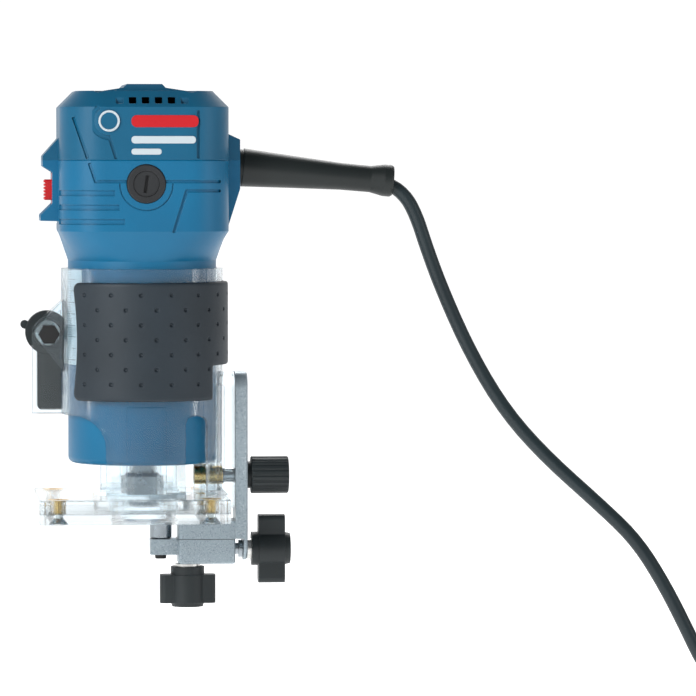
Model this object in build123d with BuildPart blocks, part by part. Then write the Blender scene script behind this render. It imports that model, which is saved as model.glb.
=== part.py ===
from build123d import *
import math
import os

# Trim router: a motor unit clamped in a clear base, with an edge guide on the right-hand side.
# Millimetres. The origin is on the spindle axis in the plane of the sole, +Z is up along the
# spindle, -Y is the front with the brush cap, +X is the side of the cable and the guide.

os.makedirs("parts", exist_ok=True)

# ---------------------------------------------------------------- driving dimensions

# Motor barrel and head
barrel_radius = 32.5
barrel_bottom = 24.7
barrel_height = 88.5
barrel_wall = 2.8
barrel_floor = 3.0
barrel_edge = 2.6
flare_height = 13.0
head_width = 73.6
head_depth = 74.0
head_corner = 19.0
head_wall = 2.6
head_height = 30.8
cover_side_height = 23.0
cover_slope_height = 7.0
cover_slope_inset = 7.0
crest_height = 3.0
crest_half = 7.6
crest_shoulder = 21.0
crest_depth = 46.0
seam_chamfer = 0.3
groove_depth = 0.8

# Rotor
bearing_seat_gap = 0.02
lower_bearing_outer = 14.0
lower_bearing_width = 8.0
lower_journal = 6.0
upper_bearing_outer = 11.0
upper_bearing_width = 7.0
upper_journal = 4.0
shaft_radius = 5.0
armature_radius = 15.4
stator_bore = 16.0
stator_height = 42.0
fan_radius = 26.0
commutator_radius = 11.0
commutator_height = 13.0

# Spindle nose, collet and nut
shank_radius = 3.0
nose_length = 12.0
nose_radius = 6.0
collet_radius = 4.4
nut_flats = 17.0
nut_height = 13.0
thread_gap = 0.06

# Clear base
sole_thickness = 4.6
flange_thickness = 6.0
base_width = 82.8
base_depth = 84.0
base_centre = -5.1
base_corner = 3.0
barrel_gap = 0.3
sleeve_wall = 2.7
sleeve_height = 99.3
column_half = 17.2
window_top = 46.0
bit_opening = 14.0
insert_spacing = 66.0
split_gap = 2.4

# Clamp
clamp_reach = 8.5
clamp_x = -barrel_radius - clamp_reach
clamp_z = 81.0
clamp_bolt_radius = 2.5
clamp_head_flats = 8.0
lever_hub_radius = 9.6
lever_width = 12.6
pivot_gap = 0.08

# Rubber grip
grip_bottom = 52.4
grip_height = 51.6
grip_thickness = 2.2
grip_half_angle = 141.0

# Guide holder, guide arm and roller
pillar_reach = 7.6
pillar_outer = barrel_radius + pillar_reach
pillar_half = 9.0
pillar_top = 64.3
stud_radius = 3.0
stud_z = 18.6
arm_gap = 0.3
arm_thickness = 5.4
arm_travel = 12.0
foot_left = 15.3
foot_bottom = -9.0
foot_clearance = 1.0
block_bottom = -20.0
block_travel = 8.0
roller_x = 8.0
roller_radius = 4.85
roller_pin_radius = 1.6
screw_radius = 2.5
adjust_z = -13.9
lock_x = 19.8

# Cable
cord_radius = 3.15
relief_root_z = 154.2
relief_length = 68.0
relief_slope = -5.2
relief_root_radius = 8.4
relief_tip_radius = 5.8
relief_bell_radius = 7.0
relief_recess = 12.0
coil_mid_radius = 31.8
coil_layers = 4
coil_centre = (296.0, 5.0)
floor_z = -109.0
tie_thickness = 1.2
pin_radius = 2.4

# ---------------------------------------------------------------- derived places

neck_z = barrel_bottom + barrel_height
head_z = neck_z + flare_height
seam_z = head_z + head_height
cover_edge_z = seam_z + cover_side_height
cover_flat_z = cover_edge_z + cover_slope_height
crest_z = cover_flat_z + crest_height
brush_z = seam_z - 10.2
flange_top = sole_thickness + flange_thickness
sleeve_bore = barrel_radius + barrel_gap
sleeve_outer = sleeve_bore + sleeve_wall
sleeve_top = flange_top + sleeve_height
grip_outer = sleeve_outer + grip_thickness
arm_inner = pillar_outer + arm_gap
arm_outer = arm_inner + arm_thickness
lower_bearing_z = barrel_bottom + barrel_floor
armature_z = barrel_bottom + 27.5
fan_z = armature_z + stator_height + 12.0
commutator_z = brush_z - commutator_height / 2
upper_bearing_z = seam_z - 1.0
nose_z = barrel_bottom - nose_length - 2.5


def write_piece(piece, name):
    """Label a finished piece and write its STEP file."""
    piece.label = name
    export_step(piece, f"parts/{name}.step")


def head_outline(inset=0.0, mode=Mode.ADD):
    """Outline of the motor head, seen from above, drawn in the sketch that is open."""
    RectangleRounded(head_width - 2 * inset, head_depth - 2 * inset, head_corner - inset, mode=mode)


def turned(plane, points):
    """A turned piece: (height, radius) points about the plane's normal, closed on the axis."""
    axis_plane = Plane(origin=plane.origin, x_dir=plane.x_dir, z_dir=-plane.y_dir)
    outline = [(0.0, points[0][0])] + [(r, h) for h, r in points] + [(0.0, points[-1][0])]
    with BuildPart() as piece:
        with BuildSketch(axis_plane):
            with BuildLine():
                Polyline(*outline, close=True)
            make_face()
        revolve(axis=Axis(plane.origin, plane.z_dir))
    return piece


def tube_piece(plane, outer, inner, length):
    """A plain ring or bush that stands on a plane."""
    with BuildPart() as piece:
        with BuildSketch(plane):
            Circle(outer)
            Circle(inner, mode=Mode.SUBTRACT)
        extrude(amount=length)
    return piece


# ---------------------------------------------------------------- motor housing

switch_half = 5.0
guard_half = 11.0
switch_slot_low = 131.8
brush_ring_radius = 8.4
cover_screw_spots = [(x, y) for x in (-19.5, 19.5) for y in (-27.0, 27.0)]
boss_radius = 4.3
cover_screw_radius = 1.8
cable_boss_x = 42.4
cable_boss_half = 11.0
groove_reaches = (-13.6, -11.6, -9.3)
groove_top_z = seam_z - 13.0
groove_height = 2.4
groove_pitch = 6.2
line_width = 1.3
housing_lines = (
    ((-24.5, -1.2), (-21.8, -9.2), (-8.4, -9.2)),
    ((8.4, -9.2), (32.5, -9.2)),
    ((11.8, -31.2), (17.4, -13.2), (32.5, -13.2)),
)



def styling_grooves(side, lines):
    """What to cut from the front (side 1) or the back (side -1) for grooves of even depth."""
    with BuildPart() as cutter:
        with BuildSketch(Plane.XZ.offset(side * (head_depth / 2 + 1))):
            for line in lines:
                with BuildLine():
                    Polyline(*[(x, seam_z + rise) for x, rise in line])
                trace(line_width=line_width)
        extrude(amount=-side * (head_corner - 2.0))
        with BuildSketch(Plane.XY.offset(seam_z - head_height - 2)):
            head_outline(groove_depth)
        extrude(amount=head_height + cover_side_height + 4, mode=Mode.SUBTRACT)
    return cutter.part


with BuildPart() as motor_housing:
    with BuildSketch(Plane.XY.offset(barrel_bottom)):
        Circle(barrel_radius)
    extrude(amount=barrel_height)
    fillet(motor_housing.edges().group_by(Axis.Z)[0], barrel_edge)
    with BuildSketch(Plane.XY.offset(neck_z)):
        Circle(barrel_radius)
    with BuildSketch(Plane.XY.offset(head_z)):
        head_outline()
    loft()
    with BuildSketch(Plane.XY.offset(head_z)):
        head_outline()
    extrude(amount=head_height)
    chamfer(motor_housing.edges().group_by(Axis.Z)[-1], seam_chamfer)
    # switch guards and their cheeks on the left side
    with BuildSketch(Plane.XZ.offset(guard_half)):
        with BuildLine():
            Polyline(
                (-head_width / 2 + 1, 130.4), (-44.7, 130.6), (-44.7, 133.2), (-39.6, 138.2),
                (-39.6, 151.8), (-43.8, 154.4), (-43.8, seam_z), (-head_width / 2 + 1, seam_z),
                close=True,
            )
        make_face()
    extrude(amount=-2 * guard_half)
    # lower half of the cable boss on the right side
    with BuildSketch(Plane.XZ.offset(cable_boss_half)):
        with BuildLine():
            Polyline(
                (head_width / 2 - 1, 127.0), (head_width / 2, 127.0), (cable_boss_x, 144.5),
                (cable_boss_x, seam_z), (head_width / 2 - 1, seam_z), close=True,
            )
        make_face()
    extrude(amount=-2 * cable_boss_half)
    # inside of the barrel and of the head
    with BuildSketch(Plane.XY.offset(barrel_bottom + barrel_floor)):
        Circle(barrel_radius - barrel_wall)
    extrude(amount=head_z - barrel_bottom - barrel_floor, mode=Mode.SUBTRACT)
    with BuildSketch(Plane.XY.offset(head_z)):
        head_outline(head_wall)
    extrude(amount=head_height, mode=Mode.SUBTRACT)
    # lower bearing seat, spindle hole and outlet slots in the floor
    with BuildSketch(Plane.XY.offset(barrel_bottom + barrel_floor)):
        Circle(lower_bearing_outer + 3.0)
        Circle(lower_bearing_outer + bearing_seat_gap, mode=Mode.SUBTRACT)
    extrude(amount=lower_bearing_width)
    with BuildSketch(Plane.XY.offset(barrel_bottom)):
        Circle(nose_radius + 1.5)
        with PolarLocations(24.0, 8):
            SlotOverall(9.0, 3.4, rotation=90)
    extrude(amount=barrel_floor, mode=Mode.SUBTRACT)
    # bosses for the cover screws
    with BuildSketch(Plane.XY.offset(head_z)):
        with Locations(*cover_screw_spots):
            Circle(boss_radius)
    extrude(amount=head_height)
    with BuildSketch(Plane.XY.offset(head_z + 2)):
        with Locations(*cover_screw_spots):
            Circle(cover_screw_radius + 0.05)
    extrude(amount=head_height, mode=Mode.SUBTRACT)
    # seats of the two brush holders, with a fine line round each
    with BuildSketch(Plane.XZ.offset(head_depth / 2)):
        with Locations((0, brush_z)):
            Circle(brush_ring_radius + 0.15)
    extrude(amount=-head_depth, mode=Mode.SUBTRACT)
    for side in (1, -1):
        with BuildSketch(Plane.XZ.offset(side * head_depth / 2)):
            with Locations((0, brush_z)):
                Circle(11.7)
                Circle(11.2, mode=Mode.SUBTRACT)
            with Locations((0, brush_z + 11)):
                Rectangle(30, 20, mode=Mode.SUBTRACT)
        extrude(amount=-side * 0.5, mode=Mode.SUBTRACT)
    # channel and slot of the switch slider
    with BuildSketch(Plane.XZ.offset(switch_half + 0.5)):
        with Locations((-41.9, (switch_slot_low + 154.2) / 2)):
            Rectangle(10.0, 154.2 - switch_slot_low)
    extrude(amount=-2 * switch_half - 1.0, mode=Mode.SUBTRACT)
    with BuildSketch(Plane.YZ.offset(-head_width / 2 - 1)):
        with Locations((0, 141.4)):
            Rectangle(5.0, 9.6)
    extrude(amount=head_wall + 2, mode=Mode.SUBTRACT)
    # lower half of the cable inlet
    with BuildSketch(Plane.YZ.offset(head_width / 2 - head_wall - 0.5)):
        with Locations((0, relief_root_z)):
            Circle(relief_root_radius + 0.1)
    extrude(amount=cable_boss_x, mode=Mode.SUBTRACT)
    # three grip grooves that wrap from the left side on to the front and the back
    for step, reach in enumerate(groove_reaches):
        with BuildSketch(Plane.XY.offset(groove_top_z - groove_height - groove_pitch * step)):
            head_outline(-1.0)
            head_outline(groove_depth, mode=Mode.SUBTRACT)
            with Locations((-head_width / 2, 0)):
                Rectangle(head_width + 2 * reach, head_depth + 4, mode=Mode.INTERSECT)
                Rectangle(16.0, 2 * guard_half + 4, mode=Mode.SUBTRACT)
        extrude(amount=groove_height, mode=Mode.SUBTRACT)
    # the styling lines of the front and the back
    for side in (1, -1):
        add(styling_grooves(side, housing_lines), mode=Mode.SUBTRACT)

write_piece(motor_housing.part, "motor_housing")

# ---------------------------------------------------------------- top cover

well_radius = 3.5
well_floor = cover_edge_z - 3.0
vent_width = 3.3
vent_height = 2.8
vent_spots = [2.7 + 5.6 * step for step in (-1.5, -0.5, 0.5, 1.5)]
shallow_vent_spots = [2.7 + 5.6 * step for step in (-2.5, 2.5)]
badge_spot = (-16.0, 17.0)
badge_radius = 4.6
badge_lines = (
    ((-31.2, 18.6), (-25.2, 0.8)),
    ((-15.8, 9.6), (-13.0, 0.6)),
    ((22.5, 21.4), (22.5, 0.8)),
)

with BuildPart() as top_cover:
    with BuildSketch(Plane.XY.offset(seam_z)):
        head_outline()
    extrude(amount=cover_side_height)
    chamfer(top_cover.edges().group_by(Axis.Z)[0], seam_chamfer)
    with BuildSketch(Plane.XY.offset(cover_edge_z)):
        head_outline()
    with BuildSketch(Plane.XY.offset(cover_flat_z)):
        head_outline(cover_slope_inset)
    loft()
    # crest along the top
    with BuildSketch(Plane.XZ.offset(crest_depth / 2)):
        with BuildLine():
            Polyline(
                (-crest_shoulder, cover_flat_z - 1), (-crest_shoulder, cover_flat_z - 0.4),
                (-crest_half - 1.6, cover_flat_z + 1.4), (-crest_half, crest_z),
                (crest_half, crest_z), (crest_half + 1.6, cover_flat_z + 1.4),
                (crest_shoulder, cover_flat_z - 0.4), (crest_shoulder, cover_flat_z - 1),
                close=True,
            )
        make_face()
    extrude(amount=-crest_depth)
    # upper switch guard
    with BuildSketch(Plane.XZ.offset(guard_half)):
        with BuildLine():
            Polyline(
                (-head_width / 2 + 1, seam_z), (-43.8, seam_z), (-43.8, seam_z + 1.8),
                (-head_width / 2, seam_z + 9.8), (-head_width / 2 + 1, seam_z + 9.8), close=True,
            )
        make_face()
    extrude(amount=-2 * guard_half)
    # upper half of the cable boss
    with BuildSketch(Plane.XZ.offset(cable_boss_half)):
        with BuildLine():
            Polyline(
                (head_width / 2 - 1, seam_z), (cable_boss_x, seam_z), (cable_boss_x, seam_z + 9.0),
                (head_width / 2, seam_z + 11.6), (head_width / 2 - 1, seam_z + 11.6), close=True,
            )
        make_face()
    extrude(amount=-2 * cable_boss_half)
    # inside
    with BuildSketch(Plane.XY.offset(seam_z)):
        head_outline(head_wall)
    extrude(amount=cover_side_height - 1.5, mode=Mode.SUBTRACT)
    with BuildSketch(Plane.XY.offset(cover_edge_z - 1.5)):
        head_outline(head_wall)
    with BuildSketch(Plane.XY.offset(cover_flat_z - head_wall)):
        head_outline(cover_slope_inset + head_wall)
    loft(mode=Mode.SUBTRACT)
    # screw pillars, their wells and holes
    with BuildSketch(Plane.XY.offset(seam_z)):
        with Locations(*cover_screw_spots):
            Circle(boss_radius)
    extrude(amount=well_floor - seam_z)
    with BuildSketch(Plane.XY.offset(well_floor - 2.2)):
        with Locations(*cover_screw_spots):
            Circle(well_radius + 1.6)
    extrude(amount=cover_edge_z - well_floor + 6.0)
    with BuildSketch(Plane.XY.offset(well_floor)):
        with Locations(*cover_screw_spots):
            Circle(well_radius)
    extrude(amount=20, mode=Mode.SUBTRACT)
    with BuildSketch(Plane.XY.offset(seam_z)):
        with Locations(*cover_screw_spots):
            Circle(cover_screw_radius + 0.15)
    extrude(amount=cover_side_height, mode=Mode.SUBTRACT)
    # air inlets in the front and the back slope
    with BuildSketch(Plane.XZ.offset(head_depth / 2 + 1)):
        with Locations(*[(x, cover_edge_z + 1.4 + vent_height / 2) for x in vent_spots]):
            RectangleRounded(vent_width, vent_height, 0.4)
    extrude(amount=-head_depth - 2, mode=Mode.SUBTRACT)
    for side in (1, -1):
        with BuildSketch(Plane.XZ.offset(side * (head_depth / 2 + 1))):
            with Locations(*[(x, cover_edge_z + 1.4 + vent_height / 2) for x in shallow_vent_spots]):
                RectangleRounded(vent_width, vent_height, 0.4)
        extrude(amount=-side * 5.0, mode=Mode.SUBTRACT)
    # styling lines and the ring groove round the badge
    for side in (1, -1):
        add(styling_grooves(side, badge_lines), mode=Mode.SUBTRACT)
        with BuildSketch(Plane.XZ.offset(side * head_depth / 2)):
            with BuildLine():
                CenterArc(
                    (badge_spot[0], seam_z + badge_spot[1]), badge_radius + 2.7, 125, 150,
                )
            trace(line_width=line_width + 0.6)
        extrude(amount=-side * groove_depth, mode=Mode.SUBTRACT)
    # upper half of the cable inlet
    with BuildSketch(Plane.YZ.offset(head_width / 2 - head_wall - 0.5)):
        with Locations((0, relief_root_z)):
            Circle(relief_root_radius + 0.1)
    extrude(amount=cable_boss_x, mode=Mode.SUBTRACT)

write_piece(top_cover.part, "top_cover")

with BuildPart() as cover_screws:
    with BuildSketch(Plane.XY.offset(well_floor + 0.02)):
        with Locations(*cover_screw_spots):
            Circle(well_radius - 0.3)
    extrude(amount=2.2)
    with BuildSketch(Plane.XY.offset(well_floor + 2.2 - 1.2)):
        with Locations(*cover_screw_spots):
            Rectangle(4.2, 0.9)
            Rectangle(0.9, 4.2)
    extrude(amount=2.0, mode=Mode.SUBTRACT)
    with BuildSketch(Plane.XY.offset(seam_z - 14)):
        with Locations(*cover_screw_spots):
            Circle(cover_screw_radius)
    extrude(amount=well_floor + 0.02 - seam_z + 14)

write_piece(cover_screws.part, "cover_screws")

# ---------------------------------------------------------------- rotor

shaft_top = upper_bearing_z + upper_bearing_width + 1.0

spindle = turned(Plane.XY, [
    (nose_z, nose_radius), (lower_bearing_z - 0.6, nose_radius),
    (lower_bearing_z - 0.6, nose_radius + 1.2), (lower_bearing_z, nose_radius + 1.2),
    (lower_bearing_z, lower_journal), (lower_bearing_z + lower_bearing_width, lower_journal),
    (lower_bearing_z + lower_bearing_width, shaft_radius), (upper_bearing_z, shaft_radius),
    (upper_bearing_z, upper_journal), (shaft_top, upper_journal),
])
with BuildPart() as spindle_shaft:
    add(spindle.part)
    with BuildSketch(Plane.XY.offset(nose_z)):
        Circle(collet_radius + thread_gap)
    extrude(amount=nose_length + 3, mode=Mode.SUBTRACT)
    # two flats for the spanner, above the thread
    with BuildSketch(Plane.XY.offset(barrel_bottom - 4.0)):
        with Locations((0, nose_radius), (0, -nose_radius)):
            Rectangle(2 * nose_radius, 2.0)
    extrude(amount=3.4, mode=Mode.SUBTRACT)

write_piece(spindle_shaft.part, "spindle_shaft")

with BuildPart() as collet:
    add(turned(Plane.XY, [
        (nose_z - 3.4, collet_radius - 1.0), (nose_z - 1.6, collet_radius + 0.9),
        (nose_z - 0.1, collet_radius + 0.9), (nose_z - 0.1, collet_radius),
        (nose_z + nose_length, collet_radius),
    ]).part)
    with BuildSketch(Plane.XY.offset(nose_z - 4)):
        Circle(shank_radius)
    extrude(amount=nose_length + 6, mode=Mode.SUBTRACT)
    with BuildSketch(Plane.XY.offset(nose_z - 4)):
        Rectangle(0.5, 2 * collet_radius + 3)
        Rectangle(2 * collet_radius + 3, 0.5)
    extrude(amount=10, mode=Mode.SUBTRACT)

write_piece(collet.part, "collet")

nut_bottom = nose_z - 4.6
with BuildPart() as collet_nut:
    with BuildSketch(Plane.XY.offset(nut_bottom)):
        RegularPolygon(nut_flats / 2, 6, major_radius=False)
    extrude(amount=nut_height)
    with BuildSketch(Plane.XY.offset(nut_bottom)):
        Circle(nut_flats / 2 + 0.9)
    extrude(amount=nut_height, taper=0, mode=Mode.INTERSECT)
    with BuildSketch(Plane.XY.offset(nut_bottom + nut_height)):
        Circle(nut_flats / 2 - 0.6)
    extrude(amount=1.4, taper=35)
    with BuildSketch(Plane.XY.offset(nose_z - 0.05)):
        Circle(nose_radius + thread_gap)
    extrude(amount=nut_height, mode=Mode.SUBTRACT)
    with BuildSketch(Plane.XY.offset(nut_bottom + 1.1)):
        Circle(collet_radius + 1.2)
    extrude(amount=4.0, mode=Mode.SUBTRACT)
    with BuildSketch(Plane.XY.offset(nut_bottom)):
        Circle(collet_radius - 0.4)
    extrude(amount=2.0, mode=Mode.SUBTRACT)
    chamfer(collet_nut.edges().group_by(Axis.Z)[0].filter_by(GeomType.CIRCLE), 0.3)

write_piece(collet_nut.part, "collet_nut")

with BuildPart() as armature_core:
    with BuildSketch(Plane.XY.offset(armature_z)):
        Circle(armature_radius)
        Circle(shaft_radius + 0.01, mode=Mode.SUBTRACT)
    extrude(amount=stator_height)
    with BuildSketch(Plane.XY.offset(armature_z)):
        with PolarLocations(armature_radius, 12):
            Rectangle(5.0, 1.6)
    extrude(amount=stator_height, mode=Mode.SUBTRACT)
write_piece(armature_core.part, "armature_core")

with BuildPart() as armature_windings:
    for bottom in (armature_z - 8.0, armature_z + stator_height):
        with BuildSketch(Plane.XY.offset(bottom)):
            Circle(armature_radius - 1.4)
            Circle(shaft_radius, mode=Mode.SUBTRACT)
        extrude(amount=8.0)
    fillet(armature_windings.edges().group_by(Axis.Z)[0].sort_by(SortBy.RADIUS)[-1:], 2.0)
    fillet(armature_windings.edges().group_by(Axis.Z)[-1].sort_by(SortBy.RADIUS)[-1:], 2.0)
write_piece(armature_windings.part, "armature_windings")

with BuildPart() as commutator:
    with BuildSketch(Plane.XY.offset(commutator_z)):
        Circle(commutator_radius)
        Circle(shaft_radius, mode=Mode.SUBTRACT)
        with PolarLocations(commutator_radius, 24):
            Rectangle(1.6, 0.4, mode=Mode.SUBTRACT)
    extrude(amount=commutator_height)
write_piece(commutator.part, "commutator")

with BuildPart() as cooling_fan:
    with BuildSketch(Plane.XY.offset(fan_z)):
        Circle(fan_radius)
        Circle(shaft_radius, mode=Mode.SUBTRACT)
    extrude(amount=1.6)
    with BuildSketch(Plane.XY.offset(fan_z + 1.6)):
        Circle(9.0)
        Circle(shaft_radius, mode=Mode.SUBTRACT)
        with PolarLocations(17.0, 12):
            Rectangle(17.0, 1.5, rotation=24)
    extrude(amount=7.4)
write_piece(cooling_fan.part, "cooling_fan")


def ball_bearing(height, outer, bore, width):
    """A shielded ball bearing: the two races and the shield between them as one turned ring."""
    with BuildPart() as bearing:
        with BuildSketch(Plane.XY.offset(height)):
            Circle(outer)
            Circle(bore, mode=Mode.SUBTRACT)
        extrude(amount=width)
        for level in (height, height + width - 0.5):
            with BuildSketch(Plane.XY.offset(level)):
                Circle(outer - 2.0)
                Circle(bore + 1.8, mode=Mode.SUBTRACT)
            extrude(amount=0.5, mode=Mode.SUBTRACT)
    return bearing


journal_gap = 0.02
lower_bearing = ball_bearing(
    lower_bearing_z, lower_bearing_outer, lower_journal + journal_gap, lower_bearing_width,
)
write_piece(lower_bearing.part, "lower_bearing")
upper_bearing = ball_bearing(
    upper_bearing_z, upper_bearing_outer, upper_journal + journal_gap, upper_bearing_width,
)
write_piece(upper_bearing.part, "upper_bearing")

# ---------------------------------------------------------------- stator and bearing bridge

stator_outer = barrel_radius - barrel_wall - 0.05
with BuildPart() as stator_core:
    with BuildSketch(Plane.XY.offset(armature_z)):
        Circle(stator_outer)
        Rectangle(2 * stator_outer + 2, 2 * stator_outer - 6, mode=Mode.INTERSECT)
        Circle(stator_bore, mode=Mode.SUBTRACT)
        with Locations((17.5, 0), (-17.5, 0)):
            RectangleRounded(8.0, 21.0, 2.5, mode=Mode.SUBTRACT)
    extrude(amount=stator_height)
write_piece(stator_core.part, "stator_core")

with BuildPart() as stator_windings:
    for bottom in (armature_z - 7.0, armature_z + stator_height + 0.1):
        with BuildSketch(Plane.XY.offset(bottom)):
            Circle(stator_outer - 4.0)
            Circle(stator_bore + 1.0, mode=Mode.SUBTRACT)
            Rectangle(2 * stator_outer, 2 * stator_bore + 6, mode=Mode.INTERSECT)
        extrude(amount=6.9)
    for side in (1, -1):
        with BuildSketch(Plane.XY.offset(armature_z - 0.5)):
            with Locations((side * 19.2, 0)):
                RectangleRounded(3.6, 20.0, 1.5)
        extrude(amount=stator_height + 1.0)
write_piece(stator_windings.part, "stator_windings")

bridge_z = upper_bearing_z - 2.0
bridge_bar_x, bridge_boss_y = cover_screw_spots[-1]
with BuildPart() as bearing_bridge:
    with BuildSketch(Plane.XY.offset(bridge_z)):
        Circle(upper_bearing_outer + 3.0)
        Rectangle(2 * bridge_bar_x, 12.0)
        with Locations((-bridge_bar_x, 0), (bridge_bar_x, 0)):
            Rectangle(6.0, 2 * (bridge_boss_y - boss_radius - 0.1))
        Circle(upper_journal + 2.0, mode=Mode.SUBTRACT)
    extrude(amount=2.0)
    with BuildSketch(Plane.XY.offset(bridge_z + 2.0)):
        Circle(upper_bearing_outer + 3.0)
        Circle(upper_bearing_outer + bearing_seat_gap, mode=Mode.SUBTRACT)
    extrude(amount=upper_bearing_width)
write_piece(bearing_bridge.part, "bearing_bridge")

# ---------------------------------------------------------------- brushes, front and back

cap_radius = 5.6
cap_proud = 0.6
brush_width = 6.2
brush_height = 8.0
brush_reach = head_depth / 2 - commutator_radius
for side, place in ((-1, "front"), (1, "rear")):
    outward = Plane(origin=(0, 0, brush_z), x_dir=(1, 0, 0), z_dir=(0, side, 0))
    with BuildPart() as brush_holder:
        with BuildSketch(outward.offset(head_depth / 2 - 3.2)):
            Circle(brush_ring_radius)
        extrude(amount=3.2 + cap_proud)
        chamfer(brush_holder.faces().sort_by(Axis.Y)[-1 if side > 0 else 0].edges(), 0.5)
        with BuildSketch(outward.offset(commutator_radius + 2.2)):
            Circle(brush_ring_radius - 1.95)
        extrude(amount=brush_reach - 5.4)
        with BuildSketch(outward.offset(commutator_radius)):
            Rectangle(brush_width + 0.1, brush_height + 0.1)
        extrude(amount=brush_reach, mode=Mode.SUBTRACT)
        with BuildSketch(outward.offset(head_depth / 2 - 4.4)):
            Circle(cap_radius + 0.08)
        extrude(amount=8, mode=Mode.SUBTRACT)
    write_piece(brush_holder.part, f"brush_holder_{place}")

    with BuildPart() as brush_cap:
        with BuildSketch(outward.offset(head_depth / 2 - 4.2)):
            Circle(cap_radius)
        extrude(amount=4.2 + cap_proud - 0.5)
        with BuildSketch(outward.offset(head_depth / 2 + cap_proud - 1.9)):
            Rectangle(1.5, 7.6, rotation=-8)
        extrude(amount=3, mode=Mode.SUBTRACT)
    write_piece(brush_cap.part, f"brush_cap_{place}")

    with BuildPart() as carbon_brush:
        with BuildSketch(outward.offset(commutator_radius + 0.05)):
            Rectangle(brush_width, brush_height)
        extrude(amount=13.0)
    write_piece(carbon_brush.part, f"carbon_brush_{place}")

    brush_spring = tube_piece(
        outward.offset(commutator_radius + 13.1), 2.6, 1.9, brush_reach - 13.1 - 4.3,
    )
    write_piece(brush_spring.part, f"brush_spring_{place}")

# ---------------------------------------------------------------- switch

plate_low = 136.7
plate_high = 151.4
knob_low = 139.6
knob_high = 148.6
with BuildPart() as switch_slider:
    with BuildSketch(Plane.YZ.offset(-39.5)):
        with Locations((0, (plate_low + plate_high) / 2)):
            RectangleRounded(2 * switch_half, plate_high - plate_low, 0.8)
    extrude(amount=2.3)
    with BuildSketch(Plane.YZ.offset(-39.5)):
        with Locations((0, (knob_low + knob_high) / 2)):
            RectangleRounded(2 * switch_half - 0.6, knob_high - knob_low, 0.8)
    extrude(amount=-3.5)
    chamfer(switch_slider.faces().sort_by(Axis.X)[0].edges(), 0.4)
    with BuildSketch(Plane.YZ.offset(-42.4)):
        with Locations(*[(0, knob_low + 1.6 + 1.45 * rib) for rib in range(5)]):
            Rectangle(2 * switch_half, 0.5)
    extrude(amount=-1.0, mode=Mode.SUBTRACT)
    with BuildSketch(Plane.YZ.offset(-37.3)):
        with Locations((0, 143.6)):
            Rectangle(4.4, 4.2)
    extrude(amount=4.1)
write_piece(switch_slider.part, "switch_slider")

with BuildPart() as switch_link:
    with BuildSketch(Plane.XZ.offset(1.6)):
        with BuildLine():
            Polyline(
                (-33.1, 141.6), (-30.6, 141.6), (-30.6, 150.6), (-28.4, 150.6),
                (-28.4, 152.4), (-33.1, 152.4), close=True,
            )
        make_face()
    extrude(amount=-3.2)
write_piece(switch_link.part, "switch_link")

with BuildPart() as switch_module:
    with BuildSketch(Plane.XY.offset(seam_z + 1.0)):
        with Locations((-24.5, 0)):
            RectangleRounded(13.0, 20.0, 1.0)
    extrude(amount=14.0)
    with BuildSketch(Plane.XY.offset(seam_z - 1.2)):
        with Locations((-24.5, 0)):
            Rectangle(3.0, 5.0)
    extrude(amount=3.0)
    with BuildSketch(Plane.XY.offset(seam_z + 15.0)):
        with Locations((-24.5, -6), (-24.5, 0), (-24.5, 6)):
            Rectangle(4.0, 0.8)
    extrude(amount=4.0)
write_piece(switch_module.part, "switch_module")

# ---------------------------------------------------------------- clear base

insert_spots = [
    (base_centre + x * insert_spacing / 2, y * insert_spacing / 2) for x in (-1, 1) for y in (-1, 1)
]
insert_radius = 3.3
rim_radius = 4.6
rim_height = 0.7
lug_front_y = -8.0
lug_rear_y = 6.4
holder_boss_radius = 5.0
holder_boss_left = 22.5
stud_insert_radius = 3.9
slit_bottom = 20.0
slit_top = 58.4
ring_centre = -4.0

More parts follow.
